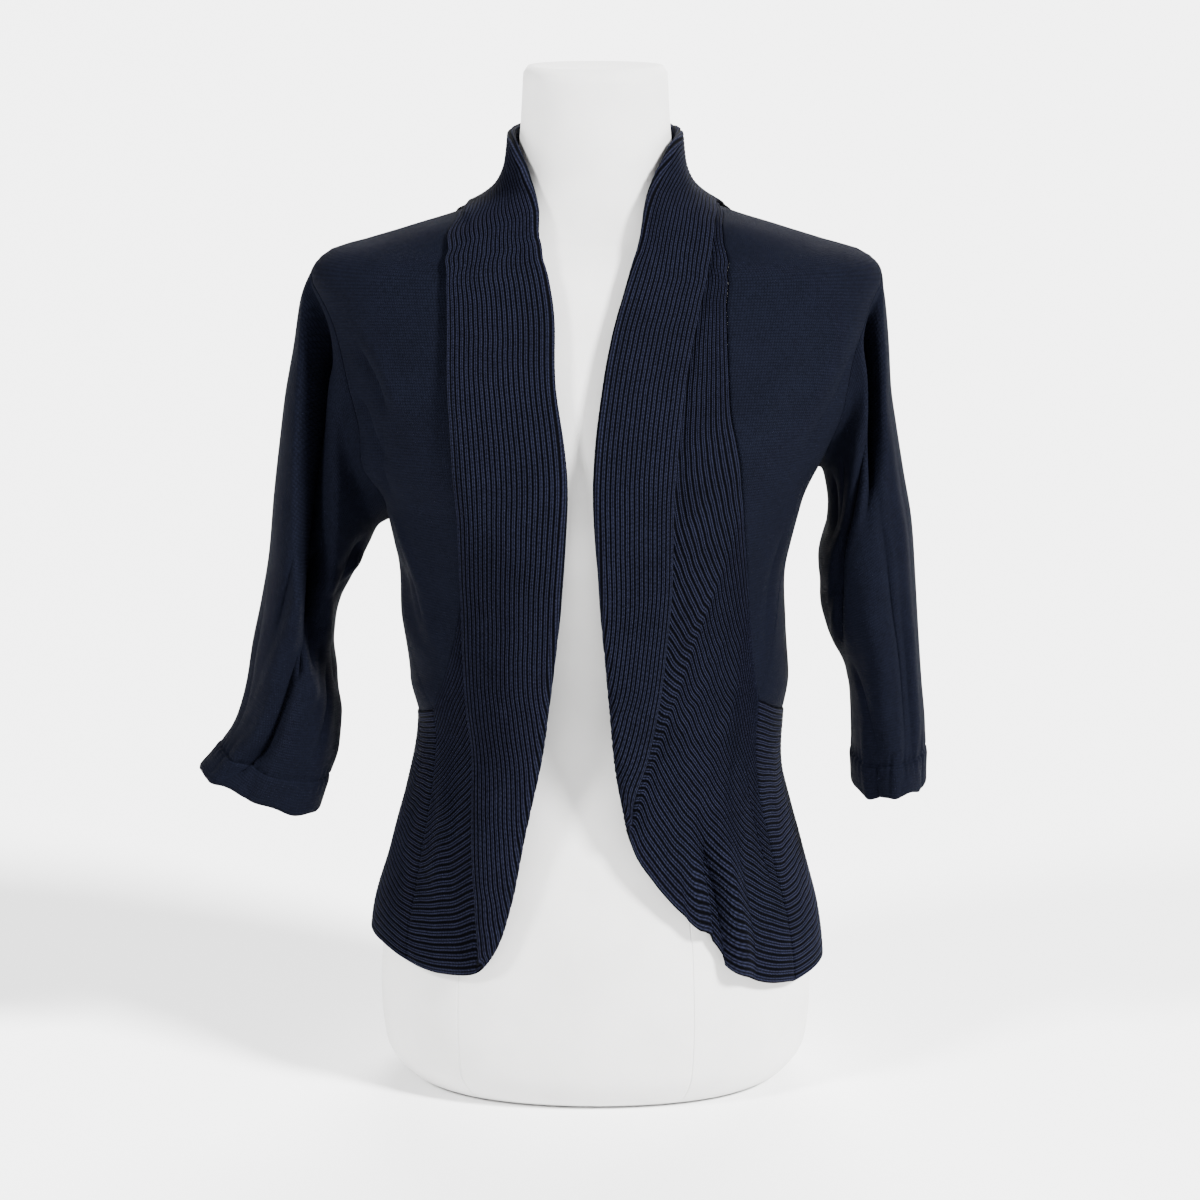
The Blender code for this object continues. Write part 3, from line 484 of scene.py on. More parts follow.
def smooth(keys: Array, values: Array, at: Array) -> Array:
    """Read a table at new keys, on a smooth curve that never overshoots its rows.

    Each stretch is a cubic whose slope at a row is the harmonic mean of the slopes on its two
    sides, and none where they turn back.

    Args:
        keys: One rising key for each row.
        values: The rows.
        at: The keys to read, of any shape.

    Returns:
        The values, with the columns on a last axis.
    """
    keys = np.asarray(keys, float)
    rows = np.asarray(values, float).reshape(len(keys), -1)
    at = np.asarray(at, float)
    slope = np.diff(rows, axis=0) / np.diff(keys)[:, None]
    tangent = np.zeros_like(rows)
    tangent[0], tangent[-1] = slope[0], slope[-1]
    before, after = slope[:-1], slope[1:]
    same_way = before * after > 0
    mean = 2 * before * after / np.where(same_way, before + after, 1.0)
    tangent[1:-1] = np.where(same_way, mean, 0.0)
    flat = np.clip(at.ravel(), keys[0], keys[-1])
    i = np.clip(np.searchsorted(keys, flat, side="right") - 1, 0, len(keys) - 2)
    h = np.diff(keys)[i][:, None]
    u = (flat - keys[i])[:, None] / h
    result = (
        (1 + 2 * u) * (1 - u) ** 2 * rows[i]
        + u * (1 - u) ** 2 * h * tangent[i]
        + u * u * (3 - 2 * u) * rows[i + 1]
        + u * u * (u - 1) * h * tangent[i + 1]
    )
    return result.reshape(at.shape + (rows.shape[1],))


def smoothstep(x: Array) -> Array:
    """0 below 0, 1 above 1, and 3 x squared less 2 x cubed between."""
    x = np.clip(x, 0.0, 1.0)
    return x * x * (3 - 2 * x)


def between(x: Array, start: float, end: float) -> Array:
    """A soft step from 0 at the start to 1 at the end, which may be the smaller of the two."""
    return smoothstep((x - start) / (end - start))


def unit(vectors: Array) -> Array:
    """Vectors made one long."""
    return vectors / np.maximum(np.linalg.norm(vectors, axis=-1, keepdims=True), 1e-12)


def round_edge(distance: Array, radius: float, least: float = 0.34) -> Array:
    """Share of a wall's thickness near its edge: a half circle's height, never under the least."""
    inside = np.clip(distance / radius, 0.0, 1.0)
    return np.maximum(np.sqrt(1 - (1 - inside) ** 2), least)


def fold_relief(folds: tuple[Fold, ...], place: Array, level: Array, crisp: bool = False) -> Array:
    """Add up soft folds.

    Each fold is a smooth bump across the line from its top to its foot, and it fades in and
    out over the ends of the line. A crisp trough is V-shaped, with rounded shoulders.

    Args:
        folds: The folds.
        place: Degrees round the body or the sleeve.
        level: Height on the body or ring number on the sleeve.
        crisp: Whether the troughs are creased along their middle.

    Returns:
        The height of the folds in millimetres.
    """
    total = np.zeros(np.broadcast(place, level).shape)
    for fold in folds:
        along = (level - fold.foot) / (fold.top - fold.foot)
        centre = fold.foot_place + (fold.top_place - fold.foot_place) * along
        off = (centre - place + 180.0) % 360.0 - 180.0
        off = np.abs(off) / (FOLD_REACH * fold.half_width * (1 + fold.lean * np.sign(off)))
        creased = crisp and fold.rise < 0
        across = np.maximum(1 - off, 0.0) ** CREASE_SHARPNESS if creased else 1 - smoothstep(off)
        fade_in = smoothstep(along / FOLD_FADE + FOLD_START)
        total += fold.rise * across * fade_in * smoothstep((1 - along) / FOLD_FADE)
    return total


@dataclass
class Body:
    """The surface of the form and the inside of the cloth that lies over it."""

    sections: tuple[Section, ...] = FORM_SECTIONS
    ease: tuple[Ease, ...] = EASE
    squareness: float = 0.06
    least_ease: float = 2.0
    samples: int = 4000
    angle_step: float = 0.25
    run_step: float = 0.5

    def __post_init__(self) -> None:
        """Work out the run of each section and a fine table from height to run."""
        self.table = np.array(self.sections, float)
        steps = np.hypot(np.diff(self.table[:, 0]), np.diff(self.table[:, 1]))
        self.key = np.concatenate([[0.0], np.cumsum(steps)])
        self.top = float(self.key[-1])
        self.ease_table = np.array(self.ease, float)
        self.fine_run = np.linspace(0.0, self.top, self.samples)
        self.fine_height = smooth(self.key, self.table[:, 0], self.fine_run)[:, 0]

    def run_at(self, height: Array) -> Array:
        """The run of a height."""
        return np.interp(height, self.fine_height, self.fine_run)

    def form(self, angle: Array, run: Array) -> Array:
        """Work out points of the form, whose sections are ellipses, a little squared.

        x is the half width times the sine of the angle, and -y is the depth times its cosine.
        Each is made larger by the squareness times the square of the other one's function.

        Args:
            angle: Degrees round the body.
            run: Length up the side of the form.

        Returns:
            Points (..., 3) in millimetres.
        """
        angle, run = np.broadcast_arrays(np.asarray(angle, float), np.asarray(run, float))
        height, width, front, back = np.moveaxis(smooth(self.key, self.table, run), -1, 0)
        s, c = np.sin(np.radians(angle)), np.cos(np.radians(angle))
        depth = np.where(c > 0, front, back)
        x = width * s * (1 + self.squareness * c * c)
        y = -depth * c * (1 + self.squareness * s * s)
        return np.stack([x, y, height], axis=-1)

    def normals(self, surface: Surface, angle: Array, run: Array) -> Array:
        """Work out outward unit normals: a small step round crossed with a small step up.

        Args:
            surface: The form or the cloth, as a function of angle and run.
            angle: Degrees round the body.
            run: Length up the side of the form.

        Returns:
            Normals (..., 3).
        """
        turn, rise = self.angle_step, self.run_step
        around = surface(angle + turn, run) - surface(angle - turn, run)
        above, below = np.minimum(run + rise, self.top), np.maximum(run - rise, 0.0)
        return unit(np.cross(around, surface(angle, above) - surface(angle, below)))

    def lay(self, angle: Array, run: Array) -> Array:
        """Work out the inside of the cloth: the form moved out by the ease and the folds.

        The ease is that of the front or back times the square of the cosine, plus that of the
        side times the square of the sine. The folds never take it under the least ease.

        Args:
            angle: Degrees round the body.
            run: Length up the side of the form.

        Returns:
            Points (..., 3) in millimetres.
        """
        angle, run = np.broadcast_arrays(np.asarray(angle, float), np.asarray(run, float))
        height = smooth(self.key, self.table[:, 0], run)[..., 0]
        eased = smooth(self.ease_table[:, 0], self.ease_table[:, 1:], height)
        right, left, front, back = np.moveaxis(eased, -1, 0)
        s, c = np.sin(np.radians(angle)), np.cos(np.radians(angle))
        ease = np.where(c > 0, front, back) * c * c + np.where(s > 0, left, right) * s * s
        relief = fold_relief(BODY_FOLDS, angle, height)
        relief = relief + fold_relief(CREASES, angle, height, crisp=True)
        ease = np.maximum(ease + relief, np.minimum(ease, self.least_ease))
        return self.form(angle, run) + self.normals(self.form, angle, run) * ease[..., None]

    def cloth(self, angle: Array, run: Array, lift: Array) -> Array:
        """Points above the inside of the cloth by a lift, along the cloth's normal."""
        angle, run, lift = np.broadcast_arrays(angle, run, lift)
        return self.lay(angle, run) + self.normals(self.lay, angle, run) * lift[..., None]

    def faces(
        self, angle: Array, run: Array, base: Array | float, thickness: float, share: Array,
        relief: Array | float = 0.0,
    ) -> tuple[Array, Array]:
        """Work out both faces of a wall of cloth.

        The middle of the wall is half its thickness above its base. Each face is half the
        thickness, times the share, from the middle, and the relief is added to the outer one.

        Args:
            angle: Degrees round the body.
            run: Length up the side of the form.
            base: How far the wall lies off the inside of the cloth.
            thickness: The wall's full thickness.
            share: Share of the thickness at each point.
            relief: What stands out of the outer face.

        Returns:
            Outer and inner points (rows, columns, 3).
        """
        half = thickness / 2
        outer = self.cloth(angle, run, base + half + half * share + relief)
        return outer, self.cloth(angle, run, base + half - half * share)

    def seam_step(self, angle: Array, height: Array, distance: float = SEAM_GAP / 2) -> Array:
        """Degrees that make a distance along the cloth at a place on the body."""
        place = self.lay(angle, self.run_at(height))
        return np.degrees(distance / np.hypot(place[..., 0], place[..., 1]))

    def beside(self, line: Array, distance: float) -> Array:
        """Move a line sideways over the cloth, to its right.

        The line is laid flat with the body's radius at each place, and every place moves at
        right angles to the way ahead.

        Args:
            line: Places (rows, 2) as angle and run.
            distance: Millimetres to move.

        Returns:
            The moved places.
        """
        places = self.lay(line[:, 0], line[:, 1])
        radius = np.radians(np.hypot(places[:, 0], places[:, 1]))
        flat = np.stack([line[:, 0] * radius, line[:, 1]], axis=-1)
        ahead = unit(np.gradient(flat, axis=0))
        moved = line.copy()
        moved[:, 0] += ahead[:, 1] * distance / radius
        moved[:, 1] -= ahead[:, 0] * distance
        return moved


def side_angle(side: Side, height: Array, edge: Edge = Edge.FRONT) -> Array:
    """Read the angle of the edge of a front or of the back.

    Up to the armpit it is the side seam, then the front or back edge of the armhole, and at
    the shoulder it is the top of the shoulder.

    Args:
        side: The wearer's side.
        height: Heights on the body.
        edge: Which edge of the armhole.

    Returns:
        The angle at each height.
    """
    height = np.asarray(height, float)
    hole = np.array(ARMHOLE[side], float)
    seam = np.array(SIDE_SEAM[side], float)
    at_hole = smooth(hole[:, 0], hole[:, edge.value], height)[..., 0]
    at_seam = smooth(seam[:, 0], seam[:, 1], height)[..., 0]
    return np.where(height > hole[0, 0], at_hole, at_seam)


def even_steps(points: Array, count: int, crowding: Array | float = 1.0) -> Array:
    """Pick row numbers of a fine line of points that are evenly spaced along it.

    Args:
        points: Points (rows, lines, 3) of one or more lines side by side.
        count: How many rows to pick.
        crowding: How closely the rows are set at each point.

    Returns:
        Fractional row numbers between 0 and 1.
    """
    length = np.linalg.norm(np.diff(points, axis=0), axis=-1).mean(axis=1)
    length = length * np.broadcast_to(crowding, len(points))[1:]
    run = np.concatenate([[0.0], np.cumsum(length)])
    return np.interp(np.linspace(0, run[-1], count), run, np.linspace(0, 1, len(run)))


def lengths(points: Array) -> Array:
    """Length along a line of points up to each of them."""
    return np.concatenate([[0.0], np.cumsum(np.linalg.norm(np.diff(points, axis=0), axis=-1))])


def add_object(name: str, data: bpy.types.ID) -> bpy.types.Object:
    """Put a new object with its data into the scene."""
    made = bpy.data.objects.new(name, data)
    bpy.context.scene.collection.objects.link(made)
    return made


def new_object(
    name: str, points: Array, quads: Array, uv: Array | None, finish: bpy.types.Material,
) -> bpy.types.Object:
    """Make an object from points in millimetres.

    Args:
        name: Name of the object.
        points: Points (n, 3) in millimetres.
        quads: Four point numbers for each face.
        uv: Cloth places (faces, 4, 2) of each corner, or None.
        finish: The material.

    Returns:
        The object, smooth shaded, in the scene.
    """
    mesh = bpy.data.meshes.new(name)
    mesh.vertices.add(len(points))
    mesh.vertices.foreach_set("co", (points * MM).astype(np.float32).ravel())
    mesh.loops.add(quads.size)
    mesh.loops.foreach_set("vertex_index", quads.astype(np.int32).ravel())
    mesh.polygons.add(len(quads))
    mesh.polygons.foreach_set("loop_start", np.arange(0, quads.size, 4, dtype=np.int32))
    if uv is not None:
        layer = mesh.uv_layers.new(name=CLOTH_MAP)
        layer.data.foreach_set("uv", uv.astype(np.float32).ravel())
    mesh.update(calc_edges=True)
    mesh.validate()
    mesh.shade_smooth()
    mesh.materials.append(finish)
    return add_object(name, mesh)


def grid_numbers(rows: int, columns: int, closed: bool) -> Array:
    """Number the points of a grid. On a tube the first column is named again after the last."""
    wrap = columns + 1 if closed else columns
    return np.arange(rows)[:, None] * columns + np.arange(wrap)[None, :] % columns


def grid_quads(number: Array) -> Array:
    """Four point numbers for each cell of a grid, going round it."""
    corners = [number[:-1, :-1], number[:-1, 1:], number[1:, 1:], number[1:, :-1]]
    return np.stack(corners, axis=-1).reshape(-1, 4)


def wall(
    name: str, faces: tuple[Array, Array], places: Array, finish: bpy.types.Material,
    closed: bool = False, flip: bool = False,
) -> bpy.types.Object:
    """Make a closed wall of cloth from its outer and inner grids.

    The faces are the quads of both grids and a strip along each open edge. On a tube the
    last column joins the first.

    Args:
        name: Name of the object.
        faces: Outside and inside points (rows, columns, 3).
        places: Cloth places (rows, columns, 2), with one more column on a tube.
        finish: The material.
        closed: Whether it is a tube.
        flip: Whether the grid runs the other way round, so faces turn over.

    Returns:
        The object.
    """
    rows, columns = faces[0].shape[:2]
    number = grid_numbers(rows, columns, closed)
    flat = grid_numbers(rows, number.shape[1], closed=False)
    shift = rows * columns
    quads = [grid_quads(number), grid_quads(number)[:, ::-1] + shift]
    uvs = [grid_quads(flat), grid_quads(flat)[:, ::-1]]
    rims = [(number[0], flat[0], 1), (number[-1], flat[-1], -1)]
    if not closed:
        rims += [(number[:, 0], flat[:, 0], -1), (number[:, -1], flat[:, -1], 1)]
    for ring, place, turn in rims:
        strip = np.stack([ring[1:], ring[:-1], ring[:-1] + shift, ring[1:] + shift], axis=-1)
        strip_uv = np.stack([place[1:], place[:-1], place[:-1], place[1:]], axis=-1)
        quads.append(strip[:, ::turn])
        uvs.append(strip_uv[:, ::turn])
    quads, uvs = np.concatenate(quads), np.concatenate(uvs)
    if flip:
        quads, uvs = quads[:, ::-1], uvs[:, ::-1]
    points = np.concatenate([face.reshape(-1, 3) for face in faces])
    return new_object(name, points, quads, places.reshape(-1, 2)[uvs], finish)


def ring_normals(points: Array) -> Array:
    """Unit normals of rings of points: the step round a ring crossed with the step down."""
    across = np.roll(points, -1, axis=1) - np.roll(points, 1, axis=1)
    return unit(np.cross(across, np.gradient(points, axis=0)))


def rib_profile(place: Array, groove: float) -> Array:
    """Height of a rib from 0 in the valley at a whole number, with a groove along its middle."""
    off = np.abs(2 * (place % 1.0) - 1)
    return (1 - off ** RIB_FULLNESS) * (1 - groove * np.maximum(1 - off / GROOVE_WIDTH, 0.0))


def ripple(along: Array, place: Array) -> Array:
    """Work out the uneven waves of hand-worn ribs as the sum of three sines.

    The three are about 86, 37 and 21 mm long. Each shifts a little from rib to rib, so that
    no wave runs straight across the band.

    Args:
        along: Millimetres along the band.
        place: Place across the band.

    Returns:
        Waves between -1 and 1.
    """
    wide = np.sin(along / 13.7 - place / 5.2 + 1.3)
    close = np.sin(along / 5.9 + 0.9 * np.sin(place / 3.1) + 0.21 * place)
    fine = np.sin(along / 3.4 + place / 2.3 + 0.7 * np.sin(along / 21.0))
    return 0.42 * wide + 0.36 * close + 0.22 * fine


def bulge(share: Array) -> Array:
    """0 at both ends of a share from 0 to 1, and 1 in its middle, as a half wave of a sine."""
    return np.sin(np.pi * share)


@dataclass(frozen=True)
class RibCloth:
    """The rib knit of the bands and the back hem, in millimetres."""

    ribs: int = 44
    columns_per_rib: int = 6
    thickness: float = 2.2
    rib_height: float = 1.15
    outer_groove: float = 0.8
    course: float = 2.3
    reach: float = 62.0
    rise_at_seam: float = 0.45
    seam_reach: float = 2.5
    seam_radius: float = 0.5
    edge_radius: float = 0.45
    end_share: float = 0.94

    def across(self, width: float) -> Array:
        """Places across all ribs, from 0 to the width, as one row of a grid."""
        return np.linspace(0, width, self.ribs * self.columns_per_rib + 1)[None, :]

    def share(self, place: Array, rows: int) -> Array:
        """Work out the share of the thickness: rounded at both edges, less on the end rows.

        Args:
            place: Places across the band, as one row.
            rows: Rows of the grid.

        Returns:
            The share (rows, columns).
        """
        share = round_edge(place, self.seam_radius) * round_edge(place.max() - place, self.edge_radius)
        share = share * np.ones((rows, 1))
        share[[0, -1]] *= self.end_share
        return share

    def at_seam(self, place: Array) -> Array:
        """Share of a rib's height: the rise at the seam, and 1 from the seam reach on."""
        return self.rise_at_seam + (1 - self.rise_at_seam) * smoothstep(place / self.seam_reach)

    def places(self, ribs: Array, points: Array) -> Array:
        """Cloth places of a grid of points: ribs across and courses along."""
        along = lengths(points[:, ::20].mean(axis=1)) / self.course
        return np.stack(np.broadcast_arrays(ribs, along[:, None]), axis=-1)


@dataclass(frozen=True)
class PlainCloth:
    """The fine plain knit of the fronts, the back and the sleeves, in millimetres."""

    thickness: float = 1.5
    edge_radius: float = 1.2
    edge_share: float = 0.6
    body_radius: float = 130.0

    def thin_ends(self, share: Array) -> Array:
        """Make the first and last rows of a wall thinner."""
        share[[0, -1]] *= self.edge_share
        return share

    def places(self, angle: Array, run: Array) -> Array:
        """Cloth places in metres: the angle's arc on the body's radius, and the run."""
        return np.stack([np.radians(angle) * self.body_radius * MM, run * MM], axis=-1)


class Turn(NamedTuple):
    """How the rows of the band turn over at the fold.

    Folded is how many places lie beyond the fold. Start is the place where the turn begins,
    and arc is how many places it takes up, at a pitch in millimetres. The gap parts the two
    layers. The turn is an arc of the radius about a line above the fold's places, and normal
    and outward are the ways up from the body and out past the fold there.
    """

    folded: Array
    start: Array
    arc: Array
    pitch: Array
    gap: Array
    radius: Array
    fold: Array
    normal: Array
    outward: Array


@dataclass
class RibBand:
    """One side of the deep rib-knit band, folded back as collar and lapel.

    A row crosses the band from its seam to its free edge. Up to the fold it lies on the body,
    over the fold it goes round an arc, and beyond the fold it lies back over itself. Sizes
    are millimetres. The width, the selvedge, the sways and the relief's fade are places across
    the band, the drops are shares, the end gaps are degrees, and the rows of the neck, the
    shoulder and the hem are station numbers.
    """

    side: Side
    body: Body
    knit: RibCloth = RibCloth()
    width: int = 40
    rows: int = 184
    fine_rows: int = 900
    coarse_rows: int = 64
    fold_gap: float = 2.8
    neck_gap: float = 0.7
    selvedge: float = 1.7
    edge_drop: float = 0.7
    inner_groove: float = 0.35
    flat_pitch: float = 3.5
    neck_rows: tuple[float, float] = (2.0, 6.0)
    shoulder_rows: tuple[float, float] = (4.5, 6.5)
    hem_row: float = 14.0
    hem_crowding: float = 0.7
    sway: float = 0.10
    hem_sway: float = 0.22
    pucker: float = 0.3
    corner_drop: float = 0.75
    relief_fade: float = 1.2
    shoulder_drop: float = 1.5
    end_gaps: tuple[float, float] = (0.03, 0.07)

    def read(self, at: Array) -> dict[str, Array]:
        """Read the stations at fractional row numbers.

        Args:
            at: Row numbers between the centre back neck and the side seam.

        Returns:
            The (angle, run) places of seam, fold and edge, how many places are folded, the
            stand-off and the height of the seam.
        """
        table = np.array(BAND_STATIONS[self.side], float)
        values = smooth(np.arange(len(table)), table, at)
        row = {"folded": np.maximum(values[:, 6], 0.0), "stand_off": values[:, 7]}
        row["seam_height"] = values[:, 1]
        for column, name in enumerate(("seam", "fold", "edge")):
            angle, height = values[:, 2 * column], values[:, 2 * column + 1]
            row[name] = np.stack([angle, self.body.run_at(height)], axis=-1)
        return row

    def even_rows(self, count: int, first: float = 0.0, last: float | None = None) -> Array:
        """Pick row numbers that are evenly spaced along the band, and closer at its hem.

        Args:
            count: How many rows to pick.
            first: First row number.
            last: Last row number, or None for the side seam.

        Returns:
            Fractional row numbers.
        """
        last = len(BAND_STATIONS[self.side]) - 1.0 if last is None else last
        fine = np.linspace(first, last, self.fine_rows)
        row = self.read(fine)
        lines = [self.body.lay(*row[name].T) for name in ("seam", "fold", "edge")]
        crowding = 1 + self.hem_crowding * between(fine, self.hem_row, self.hem_row + 3.0)
        return first + (last - first) * even_steps(np.stack(lines, axis=1), count, crowding)

    def lift(self, place: Array) -> Array:
        """Work out how far the inside of the under layer stands off the body.

        It is the fold's own stand-off at the fold, and it falls off softly with the distance
        from the fold over the knit's reach.

        Args:
            place: Places (..., 2) on the body as angle and run.

        Returns:
            The lift at each place.
        """
        coarse = self.read(np.linspace(0.0, len(BAND_STATIONS[self.side]) - 1.0, self.coarse_rows))
        line, heights = self.body.lay(*coarse["fold"].T), coarse["stand_off"]
        points = self.body.lay(place[..., 0], place[..., 1]).reshape(-1, 3)
        start, along = line[:-1], np.diff(line, axis=0)
        to_point = points[:, None] - start
        share = np.clip((to_point * along).sum(-1) / (along * along).sum(-1), 0.0, 1.0)
        away = np.linalg.norm(to_point - share[..., None] * along, axis=-1)
        nearest = away.argmin(axis=1)
        pick = np.arange(len(points))
        share, away = share[pick, nearest], away[pick, nearest]
        height = heights[nearest] + share * np.diff(heights)[nearest]
        return (height * (1 - smoothstep(away / self.knit.reach))).reshape(place.shape[:-1])

    def turn(self, at: Array, row: dict[str, Array]) -> Turn:
        """Work out how the rows turn over at the fold.

        The turn is half a circle as wide as the gap between the layers and one thickness. Its
        middle lies far enough inside the fold line for its outside to reach that line. Ribs
        turn over at the pitch that fills the lapel, where enough of them are folded.

        Args:
            at: Row numbers.
            row: What the stations say at them.

        Returns:
            The turn of every row.
        """
        body, thickness = self.body, self.knit.thickness
        folds, seams, edges = (body.lay(*row[name].T) for name in ("fold", "seam", "edge"))
        outward = np.cross(np.gradient(folds, axis=0), body.normals(body.lay, *row["fold"].T))
        outward = outward * np.sign((outward * (folds - seams)).sum(-1))[:, None]
        at_neck = 1 - between(at, *self.neck_rows)[:, None]
        gap = self.fold_gap + (self.neck_gap - self.fold_gap) * at_neck
        radius = (gap + thickness) / 2
        folded = row["folded"][:, None]
        lapel = np.linalg.norm(edges - folds, axis=-1)[:, None]
        wide = (lapel + 1.5 * radius) / np.maximum(folded, 1.0)
        pitch = self.flat_pitch + (wide - self.flat_pitch) * between(folded, 3.0, 7.0)
        arc = np.minimum(folded * pitch, np.pi * radius) / pitch
        length = np.linalg.norm(folds - seams, axis=-1)[:, None]
        turn_back = gap / 2 + thickness
        inset = np.minimum(turn_back / length, 0.5) * np.minimum(1.0, folded * pitch / turn_back)
        fold = row["fold"] + (row["seam"] - row["fold"]) * inset
        normal = body.normals(body.lay, *fold.T)
        outward = unit(outward - normal * (outward * normal).sum(-1, keepdims=True))
        return Turn(folded, self.width - folded, arc, pitch, gap, radius, fold, normal, outward)

    def spread(
        self, row: dict[str, Array], turn: Turn, place: Array, sway: Array,
    ) -> tuple[Array, Array]:
        """Lay the places of the band on the body.

        Each layer is a straight line of places, from the seam to the fold or from the fold to
        the free edge, and its ribs sway along it in the middle.

        Args:
            row: What the stations say at each row.
            turn: The turn of every row.
            place: Places across the band.
            sway: How many places the ribs sway.

        Returns:
            Places (rows, columns, 2) as angle and run, and the share of the upper layer that
            lies between each of them and the fold.
        """
        share = np.clip(place / turn.start, 0, 1)
        share = share + sway * bulge(share) / turn.start
        under = row["seam"][:, None] + (turn.fold - row["seam"])[:, None] * share[..., None]
        left_over = np.maximum(self.width - turn.start - turn.arc, 1e-6)
        over_share = np.clip((place - turn.start - turn.arc) / left_over, 0, 1)
        over_share = over_share + sway * bulge(over_share) / np.maximum(left_over, 1.0)
        over = turn.fold[:, None] + (row["edge"] - turn.fold)[:, None] * over_share[..., None]
        return np.where((place <= turn.start)[..., None], under, over), over_share

    def reliefs(self, turn: Turn, place: Array, share: Array) -> tuple[Array, Array]:
        """Work out how far the ribs stand out of both faces.

        They are raised where they show: on the outside up to where the lapel covers it, and on
        the inside once it is turned out. They are low at the seam, along the free edge and at
        the corner where the fold runs into the hem.

        Args:
            turn: The turn of every row.
            place: Places across the band.
            share: Share of the thickness at each point.

        Returns:
            Relief of the outer face and of the inner face.
        """
        knit, folded, start = self.knit, turn.folded, turn.start
        selvedge = self.width - self.selvedge
        at_edge = 1 - self.edge_drop * between(place, selvedge, selvedge + 0.5)
        at_corner = between(folded, 0.0, 0.8) * (1 - between(folded, 4.0, 7.0))
        at_corner = 1 - self.corner_drop * at_corner * between(place - start, -2.0, -1.0)
        height = knit.rib_height * at_edge * knit.at_seam(place) * at_corner * share
        covered, fade = start - folded, self.relief_fade
        outer = (1 - between(place - covered, fade, 2 * fade)) * (covered > 1.0)
        outer = np.where(folded < 0.5, 1.0, outer)
        inner = between(place - start, 0.0, fade)
        ribs = place * knit.ribs / self.width
        outer = height * outer * rib_profile(ribs, knit.outer_groove)
        return outer, height * inner * rib_profile(ribs, self.inner_groove)

    def build(self, finish: bpy.types.Material) -> bpy.types.Object:
        """Make the band.

        The under layer lies its lift and pucker above the body, the turn is an arc about a
        line above the fold, and the upper layer lies the gap and one thickness above the
        under one, and closer to it over the shoulder.

        Args:
            finish: The rib knit's material.

        Returns:
            The band.
        """
        body, knit, half = self.body, self.knit, self.knit.thickness / 2
        at = self.even_rows(self.rows)
        row = self.read(at)
        for name in ("seam", "fold", "edge"):
            row[name][[0, -1], 0] -= self.side.sign * np.array(self.end_gaps)
        turn = self.turn(at, row)
        place = knit.across(self.width)
        share = knit.share(place, self.rows)
        reliefs = self.reliefs(turn, place, share)

        middle = (body.lay(*row["seam"].T) + body.lay(*row["fold"].T)) / 2
        wave = ripple(lengths(middle)[:, None], place)
        in_hem = at[:, None] - self.hem_row
        sway = (self.sway + self.hem_sway * between(in_hem, 0.0, 4.0)) * wave
        spread, over_share = self.spread(row, turn, place, sway)
        pucker = self.pucker * (1 + wave) * between(in_hem, -1.0, 3.0)
        base = self.lift(spread) + pucker * between(place, 0.0, 3.0)

        on_shoulder = 1 - between(at, *self.shoulder_rows)[:, None]
        past_seam = between(row["seam"][:, None, 1] - spread[..., 1], 0.0, 4.0)
        closing = 1 - 0.7 * on_shoulder * smoothstep(over_share * 1.4)
        settled = turn.gap * closing + knit.thickness - self.shoulder_drop * on_shoulder * past_seam

        flat = place <= turn.start
        bend = ~flat & (place <= turn.start + turn.arc)
        angle = np.clip((place - turn.start) * turn.pitch / turn.radius, 0, np.pi)[..., None]
        ahead = np.sin(angle) * turn.outward[:, None] - np.cos(angle) * turn.normal[:, None]
        above = self.lift(turn.fold)[:, None] + half + turn.radius
        centre = body.lay(*turn.fold.T) + turn.normal * above
        layers = []
        for face, relief in zip((1, -1), reliefs):
            skin = face * half * share
            lying = half + skin + (relief if face > 0 else 0.0)
            turned = settled + half - skin + (relief if face < 0 else 0.0)
            points = body.cloth(spread[..., 0], spread[..., 1], base + np.where(flat, lying, turned))
            reach = turn.radius - skin + (relief if face < 0 else 0.0)
            arcs = centre[:, None] + reach[..., None] * ahead
            layers.append(np.where(bend[..., None], arcs, points))
        cloth = knit.places(place * knit.ribs / self.width, (layers[0] + layers[1]) / 2)
        name, flip = f"rib_band_{self.side.value}", self.side is Side.RIGHT
        return wall(name, (layers[0], layers[1]), cloth, finish, flip=flip)


